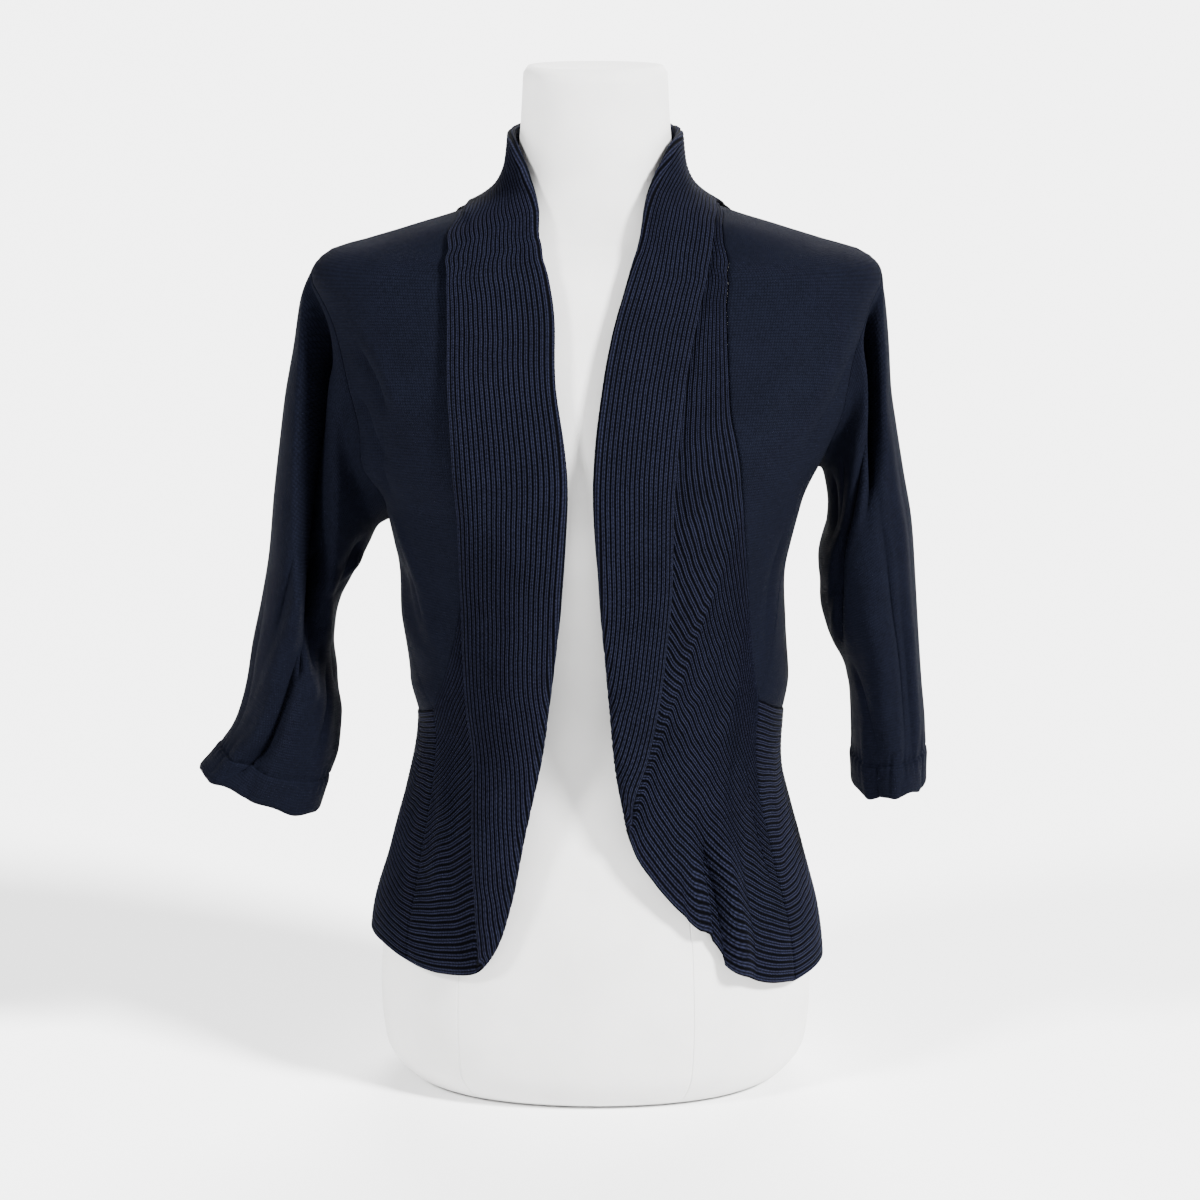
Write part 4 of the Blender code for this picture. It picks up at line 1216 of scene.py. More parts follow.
@dataclass
class BackHem:
    """The rib knit round the back hem, between the side seams."""

    body: Body
    knit: RibCloth = RibCloth()
    rows: int = 150
    fine_rows: int = 800
    foot_stand_off: float = 2.0
    rib_rise: float = 24.0
    rise_degrees: float = 30.0
    fall_degrees: tuple[float, float] = (32.0, 112.0)
    sway: float = 0.3
    pucker: float = 0.3

    def places(self, u: Array) -> Array:
        """Read the hem table in steps that are even in angle at the top of the hem.

        Args:
            u: Shares of the way from the left side seam to the right one.

        Returns:
            Angle and height of the top, and angle and height of the foot, on a last axis.
        """
        table = np.array(BACK_HEM, float)
        at = np.linspace(0, 1, len(table))
        fine = np.linspace(0, 1, self.fine_rows)
        angles = smooth(at, table[:, 0], fine)[:, 0]
        where = np.interp(table[0, 0] + (table[-1, 0] - table[0, 0]) * u, angles, fine)
        return smooth(at, table, where)

    def build(self, finish: bpy.types.Material) -> bpy.types.Object:
        """Make the hem: its ribs dip to meet the band's at the side seams and rise beyond them.

        Args:
            finish: The rib knit's material.

        Returns:
            The hem.
        """
        body, knit = self.body, self.knit
        u = np.linspace(0, 1, self.rows)
        top_angle, top, foot_angle, foot = np.moveaxis(self.places(u), -1, 0)
        shift = np.zeros(self.rows)
        shift[[0, -1]] = body.seam_step(top_angle[[0, -1]], top[[0, -1]]) * (1, -1)
        from_seam = np.minimum(top_angle[-1] - top_angle, top_angle - top_angle[0])
        near = between(from_seam, 0.0, self.rise_degrees) * (1 - between(from_seam, *self.fall_degrees))
        place = knit.across(knit.ribs)
        share = place / knit.ribs
        wave = ripple(lengths(body.lay(top_angle, body.run_at((top + foot) / 2)))[:, None], place)
        rise = (self.rib_rise / (top - foot) * near)[:, None] * bulge(share) * share
        base = self.pucker * (1 + wave) * bulge(share)
        share = share - rise + self.sway * wave * bulge(share) / knit.ribs
        angle = (top_angle + shift)[:, None] + (foot_angle - top_angle)[:, None] * share
        top_run, foot_run = body.run_at(top)[:, None], body.run_at(foot)[:, None]
        to_foot = (1 - share) * (top - foot)[:, None]
        base = base + self.foot_stand_off * (1 - smoothstep(to_foot / knit.reach))
        thick = knit.share(place, self.rows)
        relief = knit.rib_height * rib_profile(place, knit.outer_groove) * knit.at_seam(place) * thick
        run = top_run + (foot_run - top_run) * share
        faces = body.faces(angle, run, base, knit.thickness, thick, relief)
        return wall("rib_hem_back", faces, knit.places(place, faces[0]), finish)


@dataclass
class PlainFront:
    """A plain knit front between the band and the side seam and armhole."""

    side: Side
    body: Body
    band: RibBand
    knit: PlainCloth = PlainCloth()
    rows: int = 150
    columns: int = 46
    first_row: float = 2.15
    last_row: float = 0.93
    least_width: float = 0.4
    band_edge: float = 0.5

    def build(self, finish: bpy.types.Material) -> bpy.types.Object:
        """Make the front: each row runs from the band's seam to the side seam or armhole.

        Args:
            finish: The plain knit's material.

        Returns:
            The front.
        """
        body, knit, sign = self.body, self.knit, self.side.sign
        last = len(BAND_STATIONS[self.side]) - 2 + self.last_row
        at = self.band.even_rows(self.rows, self.first_row, last)
        line = self.band.read(np.concatenate([[self.first_row - 0.1], at]))["seam"]
        line = body.beside(line, -sign * SEAM_GAP)[1:]
        row = self.band.read(at)
        height = row["seam_height"]
        end = side_angle(self.side, height)
        end = end - sign * body.seam_step(end, height, SEAM_GAP / 3)
        too_near = (end - line[:, 0]) * sign < self.least_width
        end = np.where(too_near, line[:, 0] + self.least_width * sign, end)
        u = np.linspace(0, 1, self.columns)[None, :]
        angle = line[:, :1] + (end[:, None] - line[:, :1]) * u
        run = line[:, 1:] + (row["seam"][:, 1:] - line[:, 1:]) * u
        base = self.band.lift(np.stack([angle, run], axis=-1))
        steps = np.linalg.norm(np.diff(body.lay(angle, run), axis=1), axis=-1)
        across = np.concatenate([np.zeros((self.rows, 1)), np.cumsum(steps, axis=1)], axis=1)
        share = round_edge(across, knit.edge_radius, self.band_edge)
        share = share * round_edge(across[:, -1:] - across, knit.edge_radius, knit.edge_share)
        faces = body.faces(angle, run, base, knit.thickness, knit.thin_ends(share))
        name, flip = f"plain_front_{self.side.value}", self.side is Side.RIGHT
        return wall(name, faces, knit.places(angle, run), finish, flip=flip)


@dataclass
class PlainBack:
    """The plain knit back, from the neckline and shoulders down to the ribbed hem."""

    body: Body
    bands: dict[Side, RibBand]
    hem: BackHem
    knit: PlainCloth = PlainCloth()
    rows: int = 150
    columns: int = 130
    first_row: float = 3.0
    neck_samples: int = 60
    closer_at_sides: float = 0.05
    closer_heights: tuple[float, float] = (560.0, 410.0)
    bend_heights: tuple[float, float] = (290.0, 420.0)
    turn_heights: tuple[float, float] = (272.0, 362.0)
    shoulder: float = 592.0
    mm_per_degree: float = 2.2

    def neckline(self, u: Array) -> Array:
        """Read the height of the back neckline.

        Args:
            u: Shares of the way from the left shoulder over the centre back to the right.

        Returns:
            The heights of the bands' seams there.
        """
        angles, heights = [], []
        for side in (Side.LEFT, Side.RIGHT):
            table = self.bands[side].read(np.linspace(0.0, 2.0, self.neck_samples))
            order = slice(None, None, -1) if side is Side.LEFT else slice(1, None)
            angles.append(table["seam"][order, 0] % 360.0)
            heights.append(table["seam_height"][order])
        return np.interp(90.0 + 180.0 * u, np.concatenate(angles), np.concatenate(heights))

    def build(self, finish: bpy.types.Material) -> bpy.types.Object:
        """Make the back: rows that join the same rows of the two fronts.

        Rows above the shoulder are stretched up to the neckline. Lower ones are bent to the
        heights of the hem's top and turned to its angles, and their points move closer
        together at the sides.

        Args:
            finish: The plain knit's material.

        Returns:
            The back.
        """
        body, knit = self.body, self.knit
        u = np.linspace(0, 1, self.columns)
        closer = u - self.closer_at_sides * np.sin(2 * np.pi * u)
        hem_angle, hem_height = np.moveaxis(self.hem.places(closer), -1, 0)[:2]
        neck = self.neckline(u)
        at = self.bands[Side.LEFT].even_rows(self.rows, self.first_row)
        left, right = (self.bands[side].read(at)["seam_height"] for side in (Side.LEFT, Side.RIGHT))
        first = side_angle(Side.LEFT, left, Edge.BACK)
        first = (first + body.seam_step(first, left, SEAM_GAP / 3))[:, None]
        end = side_angle(Side.RIGHT, right, Edge.BACK) % 360.0
        end = (end - body.seam_step(end, right, SEAM_GAP / 3))[:, None]
        left, right = left[:, None], right[:, None]
        across = u + (closer - u) * between(left, *self.closer_heights)
        height = left + (right - left) * across
        share = (height - self.shoulder) / (neck[0] - self.shoulder)
        to_neck = self.shoulder + share * (neck - self.shoulder)
        height = np.where(left > self.shoulder, to_neck, height)
        straight = left[-1] + (right[-1] - left[-1]) * across
        height = height + (hem_height - straight) * (1 - between(height, *self.bend_heights))
        angle = first + (end - first) * across
        angle = angle + (hem_angle - angle) * (1 - between(height, *self.turn_heights))
        angle = np.concatenate([(90.0 + 180.0 * u)[None], np.clip(angle, first, end)])
        run = body.run_at(height)
        run[-1] = body.run_at(hem_height) + SEAM_GAP
        run = np.concatenate([(body.run_at(neck) - 1.6 * SEAM_GAP)[None], run])
        side = np.minimum(angle - angle[:, :1], angle[:, -1:] - angle) * self.mm_per_degree
        thick = knit.thin_ends(round_edge(side, knit.edge_radius, knit.edge_share))
        faces = body.faces(angle, run, 0.0, knit.thickness, thick)
        return wall("plain_back", faces, knit.places(angle, run), finish, flip=True)


@dataclass
class Sleeve:
    """A plain knit three-quarter sleeve with a turned and stitched cuff.

    Sizes are millimetres. The girth is the tube's width laid flat, in metres, the taper is the
    share of the ring that eases the armhole's tips, and the fold start is a ring number.
    """

    side: Side
    body: Body
    knit: PlainCloth = PlainCloth()
    rows: int = 150
    around: int = 180
    fine_rows: int = 600
    hem_depth: float = 24.0
    hem_swell: float = 0.9
    stitch_groove: float = 1.5
    groove_width: float = 1.4
    cuff_wave: float = 2.2
    wave_depth: float = 26.0
    edge_depth: float = 2.5
    pucker: float = 0.45
    puckers: int = 37
    pucker_depth: float = 8.0
    girth: float = 0.30
    taper: float = 0.05
    fold_start: float = 0.7

    def armhole(self) -> tuple[Array, Array]:
        """Work out the edge of the armhole.

        Returns:
            Its points, from the shoulder down the front and up the back, and the place of
            each as degrees round the sleeve.
        """
        body, sign, half = self.body, self.side.sign, self.around // 2
        table = np.array(BAND_STATIONS[self.side], float)[:, 1]
        hole = np.array(ARMHOLE[self.side], float)[:, 0]
        levels = table[(table >= hole[0] - 1e-6) & (table <= hole[-1] + 1e-6)]
        numbers = np.linspace(0, len(levels) - 1, half + 1)
        down = smooth(np.arange(len(levels)), levels, numbers)[:, 0]
        edges = []
        for edge, turn, height in ((Edge.FRONT, 1.0, down), (Edge.BACK, -1.0, down[::-1])):
            angle = side_angle(self.side, height, edge)
            inward = body.seam_step(angle, height) * turn * sign
            at_ends = np.abs(np.abs(angle) - 90.0) < 1e-6
            edges.append(body.lay(angle + np.where(at_ends, 0.0, inward), body.run_at(height)))
        ring = np.concatenate([edges[0][:-1], edges[1][:-1]])
        number, reach = np.arange(self.around), self.taper * self.around
        near_tip = 1 - smoothstep(np.minimum(number, self.around - number) / reach)
        near_pit = 1 - smoothstep(np.abs(number - half) / reach)
        ring += near_tip[:, None] * np.array([sign * 0.5 * SEAM_GAP, 0.0, 0.0])
        ring += near_pit[:, None] * np.array([sign * SEAM_GAP, 0.0, SEAM_GAP])
        middle, axis = (ring[0] + ring[half]) / 2, (ring[0] - ring[half]) / 2
        psi = np.degrees(np.arccos(np.clip((ring - middle) @ axis / (axis @ axis), -1, 1)))
        psi[half + 1:] = 360.0 - psi[half + 1:]
        return ring, psi

    def tube(self) -> tuple[Array, Array, Array]:
        """Work out the sleeve before its folds.

        The first rings take up the spacing of the armhole, and every point follows a smooth
        curve from ring to ring.

        Returns:
            Points (rows, around, 3), the place of each as degrees round the sleeve, and the
            ring number of each row.
        """
        first, psi = self.armhole()
        even = np.linspace(0, 360, self.around, endpoint=False)
        rings, places = [first], [psi]
        for number, ring in enumerate(SLEEVE_RINGS[self.side]):
            place = psi + (even - psi) * smoothstep(number / 4)
            rings.append(ring.points(place))
            places.append(place)
        table = np.concatenate([np.array(rings).reshape(len(rings), -1), np.array(places)], axis=1)
        keys = np.arange(len(rings))
        split = self.around * 3
        fine = smooth(keys, table, np.linspace(0, keys[-1], self.fine_rows))
        centres = fine[:, :split].reshape(self.fine_rows, -1, 3).mean(axis=1)
        level = even_steps(centres[:, None], self.rows) * keys[-1]
        values = smooth(keys, table, level)
        points = values[:, :split].reshape(self.rows, self.around, 3)
        return points, values[:, split:], level[:, None]

    def relief(self, place: Array, level: Array) -> Array:
        """Add up the sleeve's folds and creases, which start a little below the armhole."""
        relief = fold_relief(SLEEVE_FOLDS[self.side], place, level)
        relief = relief + fold_relief(SLEEVE_CREASES[self.side], place, level, crisp=True)
        return relief * between(level, 0.0, self.fold_start)

    def hem(self, turn: Array, from_cuff: Array) -> Array:
        """Work out what the turned hem adds outside.

        The hem is a layer thicker, the stitches sink into a groove at its top, and small
        puckers cross them.

        Args:
            turn: Radians round the sleeve.
            from_cuff: Millimetres up from the cuff's edge.

        Returns:
            The height to add, which fades at the very edge.
        """
        from_stitches = from_cuff - self.hem_depth
        in_hem = 1 - between(from_stitches, -1.0, 1.0)
        groove = np.exp(-((from_stitches / self.groove_width) ** 2))
        pucker = np.sin(turn * self.puckers) * np.exp(-((from_stitches / self.pucker_depth) ** 2))
        extra = self.hem_swell * in_hem - self.stitch_groove * groove + self.pucker * pucker
        return extra * between(from_cuff, 0.0, self.edge_depth)

    def build(self, finish: bpy.types.Material) -> bpy.types.Object:
        """Make the sleeve: the tube, moved out or in by its folds, with a waved cuff.

        Args:
            finish: The plain knit's material.

        Returns:
            The sleeve.
        """
        knit, half = self.knit, self.knit.thickness / 2
        inner, place, level = self.tube()
        outward = unit(inner - inner.mean(axis=1, keepdims=True))
        out_of_fold = unit(outward * (1.0, 1.0, 0.4))
        inner = inner + self.relief(place, level)[..., None] * out_of_fold
        middle = inner.mean(axis=1)
        down = lengths(middle)
        from_cuff = (down[-1] - down)[:, None]
        turn = np.radians(place)
        uneven = self.cuff_wave * (0.6 * np.sin(3 * turn + 0.8) + 0.4 * np.sin(8 * turn + 2.1))
        uneven = uneven * (1 - between(from_cuff, 0.0, self.wave_depth))
        inner = inner + uneven[..., None] * unit(np.gradient(middle, axis=0))[:, None]
        normal = ring_normals(inner)
        normal = normal * np.sign((normal * outward).sum(-1).mean())
        share = knit.thin_ends(np.ones((self.rows, 1)))
        outer = inner + normal * (half + half * share + self.hem(turn, from_cuff))[..., None]
        inner = inner + normal * (half - half * share)[..., None]
        u = np.linspace(0, 1, self.around + 1)[None, :] * self.girth
        cloth = np.stack(np.broadcast_arrays(u, (down * MM)[:, None]), axis=-1)
        name, flip = f"plain_sleeve_{self.side.value}", self.side is Side.RIGHT
        return wall(name, (outer, inner), cloth, finish, closed=True, flip=flip)


@dataclass
class CoveredForm:
    """The limbless form under its stretched cover, with a flat base and a flat neck cap."""

    body: Body
    around: int = 180
    rows: int = 150
    cap_rows: int = 8

    def build(self, finish: bpy.types.Material) -> bpy.types.Object:
        """Make the form: rings up the body, closed by rings that shrink to a point.

        Args:
            finish: The cover's material.

        Returns:
            The form.
        """
        angle = np.linspace(0, 360, self.around, endpoint=False)[None, :]
        run = np.linspace(0, self.body.top, self.rows)[:, None]
        rings = self.body.form(angle, run)
        shrink = np.linspace(1, 0, self.cap_rows + 1)[1:, None, None]
        base, cap = rings[0], rings[-1]
        lower = base.mean(axis=0) + (base - base.mean(axis=0)) * shrink[::-1]
        upper = cap.mean(axis=0) + (cap - cap.mean(axis=0)) * shrink
        points = np.concatenate([lower, rings, upper])
        quads = grid_quads(grid_numbers(*points.shape[:2], closed=True))
        made = new_object("covered_form", points.reshape(-1, 3), quads, None, finish)
        mesh = bmesh.new()
        mesh.from_mesh(made.data)
        bmesh.ops.remove_doubles(mesh, verts=mesh.verts, dist=1e-6)
        mesh.to_mesh(made.data)
        mesh.free()
        return made


class Graph:
    """A material's node graph, with short calls for the maths in it."""

    def __init__(self, name: str) -> None:
        """Start a material with a Principled shader.

        Args:
            name: Name of the material.
        """
        self.material = bpy.data.materials.new(name)
        self.material.use_nodes = True
        self.nodes = self.material.node_tree.nodes
        self.links = self.material.node_tree.links
        self.shader = self.nodes["Principled BSDF"]

    def node(self, kind: str, **settings: str) -> bpy.types.Node:
        """Add a node.

        Args:
            kind: The node's type.
            **settings: Properties to set on it.

        Returns:
            The node.
        """
        made = self.nodes.new(kind)
        for key, value in settings.items():
            setattr(made, key, value)
        return made

    def dress(self, colour: Socket | tuple, normal: Socket, values: dict[str, float | tuple]) -> None:
        """Dress the shader.

        Args:
            colour: A socket, or one colour for the whole surface.
            normal: A bump.
            values: Numbers and colours to set on the shader's own sockets.
        """
        inputs = self.shader.inputs
        if isinstance(colour, tuple):
            inputs["Base Color"].default_value = (*colour, 1.0)
        else:
            self.links.new(colour, inputs["Base Color"])
        self.links.new(normal, inputs["Normal"])
        for name, value in values.items():
            inputs[name].default_value = value

    def parts(self, vector: Socket) -> tuple[Socket, Socket, Socket]:
        """Take a vector apart.

        Args:
            vector: The vector.

        Returns:
            Its three numbers.
        """
        made = self.node("ShaderNodeSeparateXYZ")
        self.links.new(vector, made.inputs[0])
        return tuple(made.outputs)

    def math(self, operation: str, *values: Socket | float) -> Socket:
        """Work out a number.

        Args:
            operation: Name of the operation.
            *values: Sockets or numbers that feed it.

        Returns:
            The result.
        """
        made = self.node("ShaderNodeMath", operation=operation)
        for socket, value in zip(made.inputs, values):
            if isinstance(value, Socket):
                self.links.new(value, socket)
            else:
                socket.default_value = value
        return made.outputs[0]

    def times(self, first: Socket | float, second: Socket | float) -> Socket:
        """The product of two numbers."""
        return self.math("MULTIPLY", first, second)

    def scaled(self, value: Socket, factor: float | Socket, added: float | Socket) -> Socket:
        """A number times a factor, with another one added."""
        return self.math("MULTIPLY_ADD", value, factor, added)

    def step(self, value: Socket, low: float, high: float) -> Socket:
        """Step softly from 0 to 1.

        Args:
            value: The number that is read.
            low: Where the step starts.
            high: Where it ends.

        Returns:
            The step.
        """
        made = self.node("ShaderNodeMapRange", interpolation_type="SMOOTHSTEP")
        self.links.new(value, made.inputs["Value"])
        made.inputs["From Min"].default_value = low
        made.inputs["From Max"].default_value = high
        return made.outputs[0]

    def noise(self, scale: float, detail: float, roughness: float = 0.5) -> Socket:
        """Make a noise on the object's own coordinates.

        Args:
            scale: Its size, as waves to a metre.
            detail: How many finer layers it has.
            roughness: How strong they are.

        Returns:
            The noise, from 0 to 1.
        """
        made = self.node("ShaderNodeTexNoise")
        made.inputs["Scale"].default_value = scale
        made.inputs["Detail"].default_value = detail
        made.inputs["Roughness"].default_value = roughness
        self.links.new(self.node("ShaderNodeTexCoord").outputs["Object"], made.inputs["Vector"])
        return made.outputs["Fac"]

    def mix(self, factor: Socket, dark: Colour, light: Colour) -> Socket:
        """Mix two colours.

        Args:
            factor: 0 for the dark one and 1 for the light one.
            dark: The dark colour.
            light: The light colour.

        Returns:
            The colour.
        """
        made = self.node("ShaderNodeMix", data_type="RGBA")
        self.links.new(factor, made.inputs[0])
        made.inputs[6].default_value = (*dark, 1.0)
        made.inputs[7].default_value = (*light, 1.0)
        return made.outputs[2]

    def bump(
        self, height: Socket, depth: float, strength: float = 1.0, under: Socket | None = None,
    ) -> Socket:
        """Make a bump.

        Args:
            height: Height from 0 to 1.
            depth: How many metres a height of 1 stands for.
            strength: How much of the bump shows.
            under: A bump that lies under it.

        Returns:
            The bumped normal.
        """
        made = self.node("ShaderNodeBump")
        made.inputs["Strength"].default_value = strength
        made.inputs["Distance"].default_value = depth
        self.links.new(height, made.inputs["Height"])
        if under is not None:
            self.links.new(under, made.inputs["Normal"])
        return made.outputs[0]


@dataclass(frozen=True)
class KnitFinish:
    """Dark navy knit. Stitches are drawn from the cloth's own places, and their low parts are
    painted darker as painted shade.

    On plain knit the places are metres and both pitches are in metres. On ribs they are
    already ribs and courses, and the stitches lie on the crests. Depths are metres, and the
    scales are those of noises, in waves to a metre.
    """

    name: str
    dark: Colour
    light: Colour
    wale: float
    course: float
    leg_slope: float
    stitch_depth: float
    ribbed: bool
    roughness: float = 0.86
    specular: float = 0.02
    sheen: float = 0.005
    sheen_roughness: float = 0.45
    sheen_tint: Colour = (0.30, 0.36, 0.62)
    wobble: float = 0.35
    wobble_scale: float = 900.0
    mottle_scale: float = 38.0
    mottle_depth: float = 0.0016
    fleck_scale: float = 460.0
    fuzz_scale: float = 2600.0
    fuzz_depth: float = 0.00012
    stagger: float = 0.35
    # Where the painted shade of the valley and of the crest's groove lies, and how dark it is.
    crest_edges: tuple[float, float] = (0.38, 0.76)
    split_edges: tuple[float, float] = (0.05, 0.30)
    split_floor: float = 0.12
    valley_shade: float = 0.04

    def legs(self, g: Graph, phase: Socket) -> Socket:
        """Legs of stitches: the size of a sine of the course number."""
        return g.math("ABSOLUTE", g.math("SINE", g.times(phase, np.pi)))

    def plain_stitches(self, g: Graph, phase: Socket, from_middle: Socket) -> tuple[Socket, Socket]:
        """Draw plain knit: legs of stitches, with a groove between the wales. The shade is the
        height, so the groove and the gaps between the legs are painted darker as painted shade.

        Args:
            g: The graph.
            phase: The course number of each leg.
            from_middle: Distance from the middle of a wale, from 0 to 1.

        Returns:
            The height and the shade.
        """
        groove = g.math("SUBTRACT", 1.0, g.math("POWER", from_middle, 4.0))
        height = g.times(self.legs(g, phase), groove)
        # Painted shade: the shade follows the height, darker in the groove and between the legs.
        return height, g.scaled(height, 0.6, 0.4)

    def rib_stitches(
        self, g: Graph, rib: Socket, phase: Socket, from_middle: Socket,
    ) -> tuple[Socket, Socket]:
        """Draw rib knit: legs of stitches on each crest, with a valley beside it that is painted
        dark as painted shade.

        A crest is split along its middle by a groove that is painted dark as painted shade, the
        gaps between the legs are painted darker as painted shade, and the stitches of each rib
        start at an uneven height of their own.

        Args:
            g: The graph.
            rib: The rib's number.
            phase: The course number of each leg.
            from_middle: Distance from the middle of a rib, from 0 to 1.

        Returns:
            The height and the shade.
        """
        own = g.math("SINE", g.times(g.math("FLOOR", rib), 2.4))
        leg = self.legs(g, g.scaled(own, self.stagger, phase))
        # The crest and split masks paint the valley and the crest's middle groove dark, as painted
        # shade.
        crest = g.math("SUBTRACT", 1.0, g.step(from_middle, *self.crest_edges))
        split = g.scaled(g.step(from_middle, *self.split_edges), 1 - self.split_floor, self.split_floor)
        height = g.times(g.times(g.math("ADD", leg, 0.9), crest), split)
        # Painted shade: the valley and the crest's groove fall to the valley shade, and the gaps
        # between the legs are darker too.
        shade = g.scaled(g.times(crest, split), 1 - self.valley_shade, self.valley_shade)
        return height, g.times(shade, g.scaled(leg, 0.60, 0.42))

    def make(self) -> bpy.types.Material:
        """Build the knit.

        Across a wale the two legs of a stitch rise from its middle to its sides, so their
        phase is the course number less a slope times the distance from the middle. The low
        parts of the stitches are painted darker, as painted shade. Broad mottling and fine
        flecks change the shade, and a faint fuzz lies under the stitches.

        Returns:
            The material.
        """
        g = Graph(self.name)
        across, along, _ = g.parts(g.node("ShaderNodeUVMap", uv_map=CLOTH_MAP).outputs[0])
        wobble = g.times(g.math("SUBTRACT", g.noise(self.wobble_scale, 1.0), 0.5), self.wobble)
        wale = g.math("FRACT", g.math("DIVIDE", across, self.wale))
        from_middle = g.times(g.math("ABSOLUTE", g.math("SUBTRACT", wale, 0.5)), 2.0)
        course = g.math("ADD", g.math("DIVIDE", along, self.course), wobble)
        phase = g.math("SUBTRACT", course, g.times(from_middle, self.leg_slope))
        if self.ribbed:
            height, shade = self.rib_stitches(g, across, phase, from_middle)
        else:
            height, shade = self.plain_stitches(g, phase, from_middle)
        mottle = g.noise(self.mottle_scale, 3.0)
        fleck = g.noise(self.fleck_scale, 3.0, roughness=0.65)
        shade = g.times(shade, g.scaled(mottle, 0.6, 0.7))
        shade = g.times(shade, g.scaled(fleck, 1.7, 0.15))
        fuzz = g.bump(g.noise(self.fuzz_scale, 2.0), self.fuzz_depth, 0.5)
        soft = g.bump(mottle, self.mottle_depth, 0.5, fuzz)
        # The mix paints the stitches' low parts in the dark colour as painted shade, under the mottling
        # and flecks.
        g.dress(g.mix(shade, self.dark, self.light), g.bump(height, self.stitch_depth, 0.9, soft), {
            "Roughness": self.roughness,
            "Specular IOR Level": self.specular,
            "Sheen Weight": self.sheen,
            "Sheen Roughness": self.sheen_roughness,
            "Sheen Tint": (*self.sheen_tint, 1.0),
        })
        return g.material


@dataclass(frozen=True)
class CoverFinish:
    """Off-white jersey stretched over the form. Sizes are metres, and the seams' bearings degrees."""

    name: str = "form_cover_jersey"
    dark: Colour = (0.56, 0.555, 0.547)
    light: Colour = (0.74, 0.735, 0.725)
    thread: float = 0.0011
    thread_depth: float = 0.00006
    mottle_scale: float = 22.0
    slack_scale: float = 9.0
    slack_depth: float = 0.006
    seams: tuple[float, ...] = (-48.5, 35.5)
    seam_half_width: float = 0.008
    seam_depth: float = 0.0005
    seam_top: float = 0.60
    seam_fade: float = 0.03
    roughness: float = 0.82
    specular: float = 0.3
    sheen: float = 0.12

    def make(self) -> bpy.types.Material:
        """Build the jersey: fine crossed threads, faint mottling, slack ripples and two seams.

        The weave is the product of two sines, of the height and of x. A seam is a groove
        where the bearing round the form is near its own. It stops below the neck.

        Returns:
            The material.
        """
        g = Graph(self.name)
        x, y, z = g.parts(g.node("ShaderNodeTexCoord").outputs["Object"])
        waves = 2 * np.pi / self.thread
        weave = g.times(g.math("SINE", g.times(z, waves)), g.math("SINE", g.times(x, waves)))
        mottle = g.noise(self.mottle_scale, 4.0)
        shade = g.math("ADD", g.times(mottle, 0.8), g.times(weave, 0.05))
        normal = g.bump(g.noise(self.slack_scale, 3.0, roughness=0.4), self.slack_depth, 0.35)
        bearing = g.math("ARCTAN2", x, g.times(y, -1.0))
        above = g.step(z, self.seam_top - self.seam_fade, self.seam_top)
        for seam in self.seams:
            off = g.math("ABSOLUTE", g.math("SUBTRACT", bearing, float(np.radians(seam))))
            groove = g.math("MAXIMUM", g.step(off, 0.0, self.seam_half_width), above)
            normal = g.bump(groove, self.seam_depth, 1.0, normal)
        normal = g.bump(weave, self.thread_depth, 0.6, normal)
        g.dress(g.mix(shade, self.dark, self.light), normal, {
            "Roughness": self.roughness,
            "Specular IOR Level": self.specular,
            "Sheen Weight": self.sheen,
        })
        return g.material


@dataclass(frozen=True)
class FloorFinish:
    """Plain white paper."""

    name: str = "paper"
    colour: Colour = (0.92, 0.92, 0.92)
    grain_scale: float = 60.0
    grain: float = 0.0002
    roughness: float = 0.9

    def make(self) -> bpy.types.Material:
        """Build the paper with a very faint grain.

        Returns:
            The material.
        """
        g = Graph(self.name)
        normal = g.bump(g.noise(self.grain_scale, 2.0), self.grain, 0.2)
        g.dress(self.colour, normal, {"Roughness": self.roughness})
        return g.material


# The dark colours are the painted shade of the stitches' valleys, grooves and gaps, and the dark end of
# the mottling.
PLAIN_KNIT = KnitFinish(
    name="plain_knit_navy", dark=(0.0006, 0.0007, 0.0014), light=(0.0029, 0.0035, 0.0073),
    wale=0.0016, course=0.0020, leg_slope=0.42, stitch_depth=0.00030, ribbed=False,
)
RIB_KNIT = KnitFinish(
    name="rib_knit_navy", dark=(0.0001, 0.0001, 0.0002), light=(0.0096, 0.0108, 0.0226),
    wale=1.0, course=1.0, leg_slope=0.55, stitch_depth=0.00050, ribbed=True,
)


class Lamp(NamedTuple):
    """A soft light: its bearing from the front towards +X, its elevation, its width and power."""

    name: str
    bearing: float
    elevation: float
    softness: float
    power: float


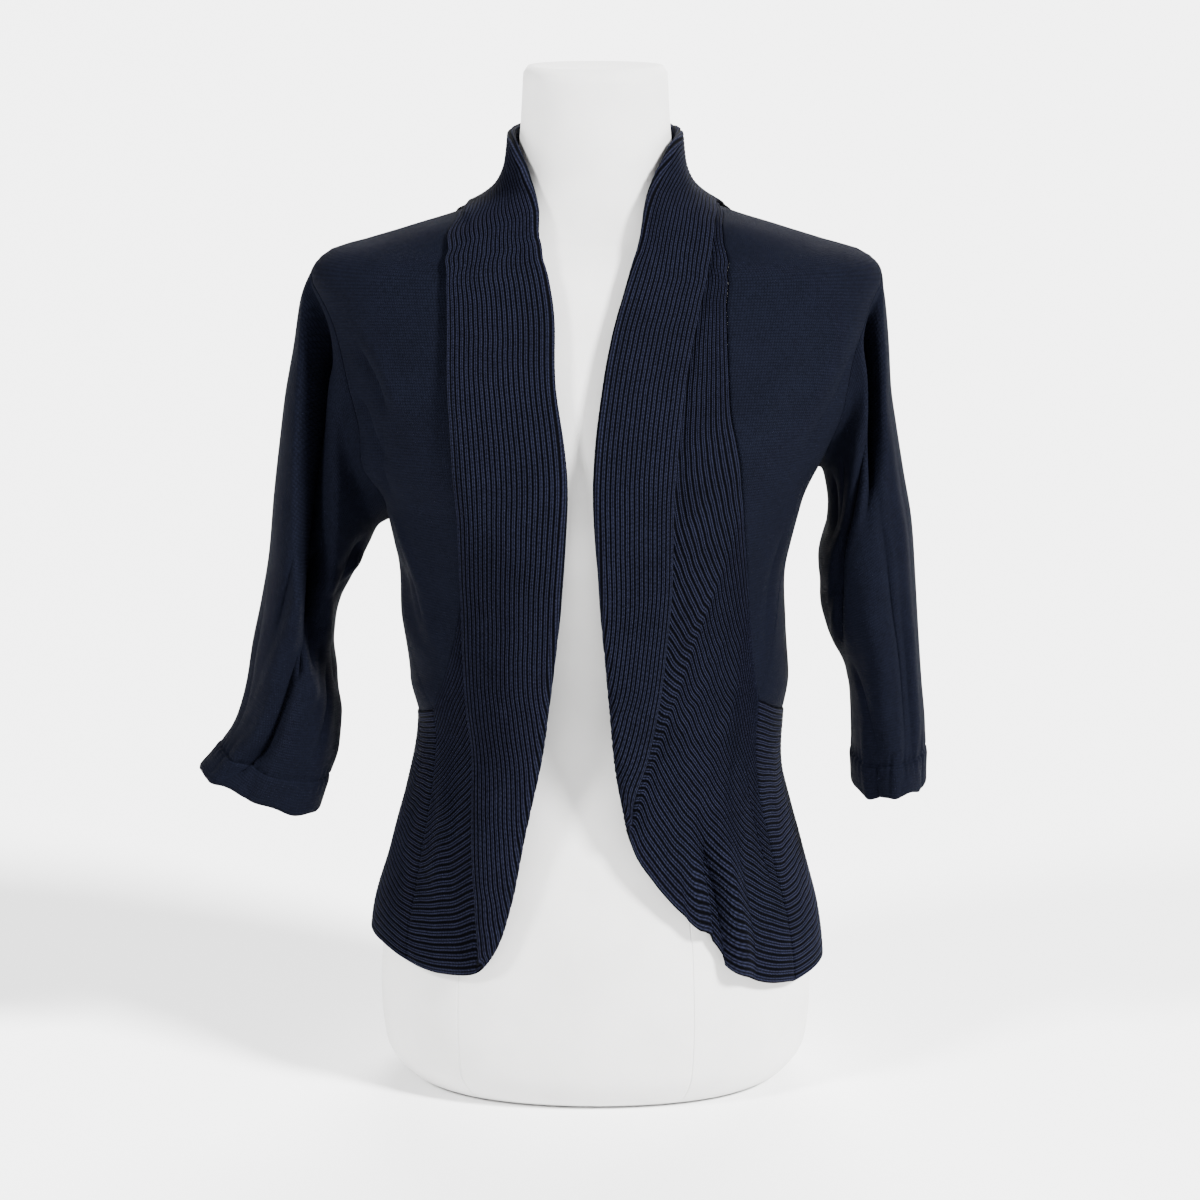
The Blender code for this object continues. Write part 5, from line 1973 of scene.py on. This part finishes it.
@dataclass
class Studio:
    """A white floor, soft lights and the camera.

    Lengths are metres and angles degrees. The lens and its sensor are millimetres.
    """

    distance: float = 2.4
    elevation: float = 13.0
    target: tuple[float, float, float] = (0.0032, 0.0, 0.354)
    lens: float = 100.0
    sensor: float = 36.0
    floor_half: float = 1500.0
    lamp_distance: float = 3.0
    sky: float = 0.25
    backdrop: float = 5.4
    lamps: tuple[Lamp, ...] = (
        Lamp("key", 56.0, 38.0, 11.0, 15.5),
        Lamp("second", -54.0, 38.0, 12.0, 5.8),
        Lamp("back", 172.0, 34.0, 40.0, 8.0),
    )

    def floor(self) -> None:
        """Lay the floor as one large sheet of paper."""
        half = self.floor_half
        mesh = bpy.data.meshes.new("floor")
        corners = [(-half, -half, 0.0), (half, -half, 0.0), (half, half, 0.0), (-half, half, 0.0)]
        mesh.from_pydata(corners, [], [(0, 1, 2, 3)])
        mesh.materials.append(FloorFinish().make())
        add_object("floor", mesh)

    def lamp(self, lamp: Lamp) -> None:
        """Add a soft light that shines on the whole floor from its bearing.

        Args:
            lamp: The light.
        """
        light = bpy.data.lights.new(lamp.name, "SUN")
        light.energy = lamp.power
        light.angle = np.radians(lamp.softness)
        turn, lean = np.radians(lamp.bearing), np.radians(lamp.elevation)
        toward = Vector((np.sin(turn) * np.cos(lean), -np.cos(turn) * np.cos(lean), np.sin(lean)))
        made = add_object(lamp.name, light)
        made.location = toward * self.lamp_distance
        made.rotation_euler = toward.to_track_quat("Z", "Y").to_euler()

    def surroundings(self) -> None:
        """Make a white sky that lights weakly and is seen as bright as the floor.

        Its strength is the sky's own, plus the rest of the backdrop's on rays that are
        seen directly.
        """
        world = bpy.data.worlds.new("sky")
        world.use_nodes = True
        nodes, links = world.node_tree.nodes, world.node_tree.links
        background = nodes["Background"]
        background.inputs["Color"].default_value = (1.0, 1.0, 1.0, 1.0)
        strength = nodes.new("ShaderNodeMath")
        strength.operation = "MULTIPLY_ADD"
        strength.inputs[1].default_value = self.backdrop - self.sky
        strength.inputs[2].default_value = self.sky
        links.new(nodes.new("ShaderNodeLightPath").outputs["Is Camera Ray"], strength.inputs[0])
        links.new(strength.outputs[0], background.inputs["Strength"])
        bpy.context.scene.world = world

    def camera(self) -> None:
        """Place the camera at its distance from the target, looking down by the elevation."""
        camera = bpy.data.cameras.new("camera")
        camera.lens = self.lens
        camera.sensor_width = self.sensor
        camera.clip_end = 2 * self.floor_half
        tilt = np.radians(self.elevation)
        ahead = np.array([0.0, np.cos(tilt), -np.sin(tilt)])
        made = add_object("camera", camera)
        made.location = np.array(self.target) - ahead * self.distance
        made.rotation_euler = (np.pi / 2 - tilt, 0.0, 0.0)
        bpy.context.scene.camera = made

    def build(self) -> None:
        """Make the floor, the lights, the sky and the camera."""
        self.floor()
        for lamp in self.lamps:
            self.lamp(lamp)
        self.surroundings()
        self.camera()


@dataclass
class Cut:
    """What a piece was knitted or cut to before it was worn: width, length and area."""

    width: float
    length: float
    area: float


# The CAD node that each piece stands for.
NODES = {
    "covered_form": "dress_form",
    "plain_back": "back_panel",
    "plain_front_left": "front_left",
    "plain_front_right": "front_right",
    "plain_sleeve_left": "sleeve_left",
    "plain_sleeve_right": "sleeve_right",
    "rib_band_left": "band_left",
    "rib_band_right": "band_right",
    "rib_hem_back": "back_hem_band",
}


def declare(piece: bpy.types.Object) -> None:
    """Say what a piece rides on and hide the CAD part that it stands for.

    Args:
        piece: The finished piece.
    """
    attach(piece, "root")
    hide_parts(NODES[piece.name])
    if piece.name == "covered_form":
        return


def main() -> None:
    """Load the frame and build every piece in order."""
    logging.basicConfig(level=logging.INFO, format="%(name)s: %(message)s")
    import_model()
    Studio().build()
    body = Body()
    plain, rib = PLAIN_KNIT.make(), RIB_KNIT.make()
    bands = {side: RibBand(side, body) for side in Side}
    hem = BackHem(body)
    pieces = [CoveredForm(body).build(CoverFinish().make())]
    pieces.append(PlainBack(body, bands, hem).build(plain))
    for side in Side:
        pieces.append(PlainFront(side, body, bands[side]).build(plain))
        pieces.append(Sleeve(side, body).build(plain))
        pieces.append(bands[side].build(rib))
    pieces.append(hem.build(rib))
    for piece in pieces:
        declare(piece)
        LOG.info("%s: %d faces", piece.name, len(piece.data.polygons))


if __name__ == "__main__":
    main()
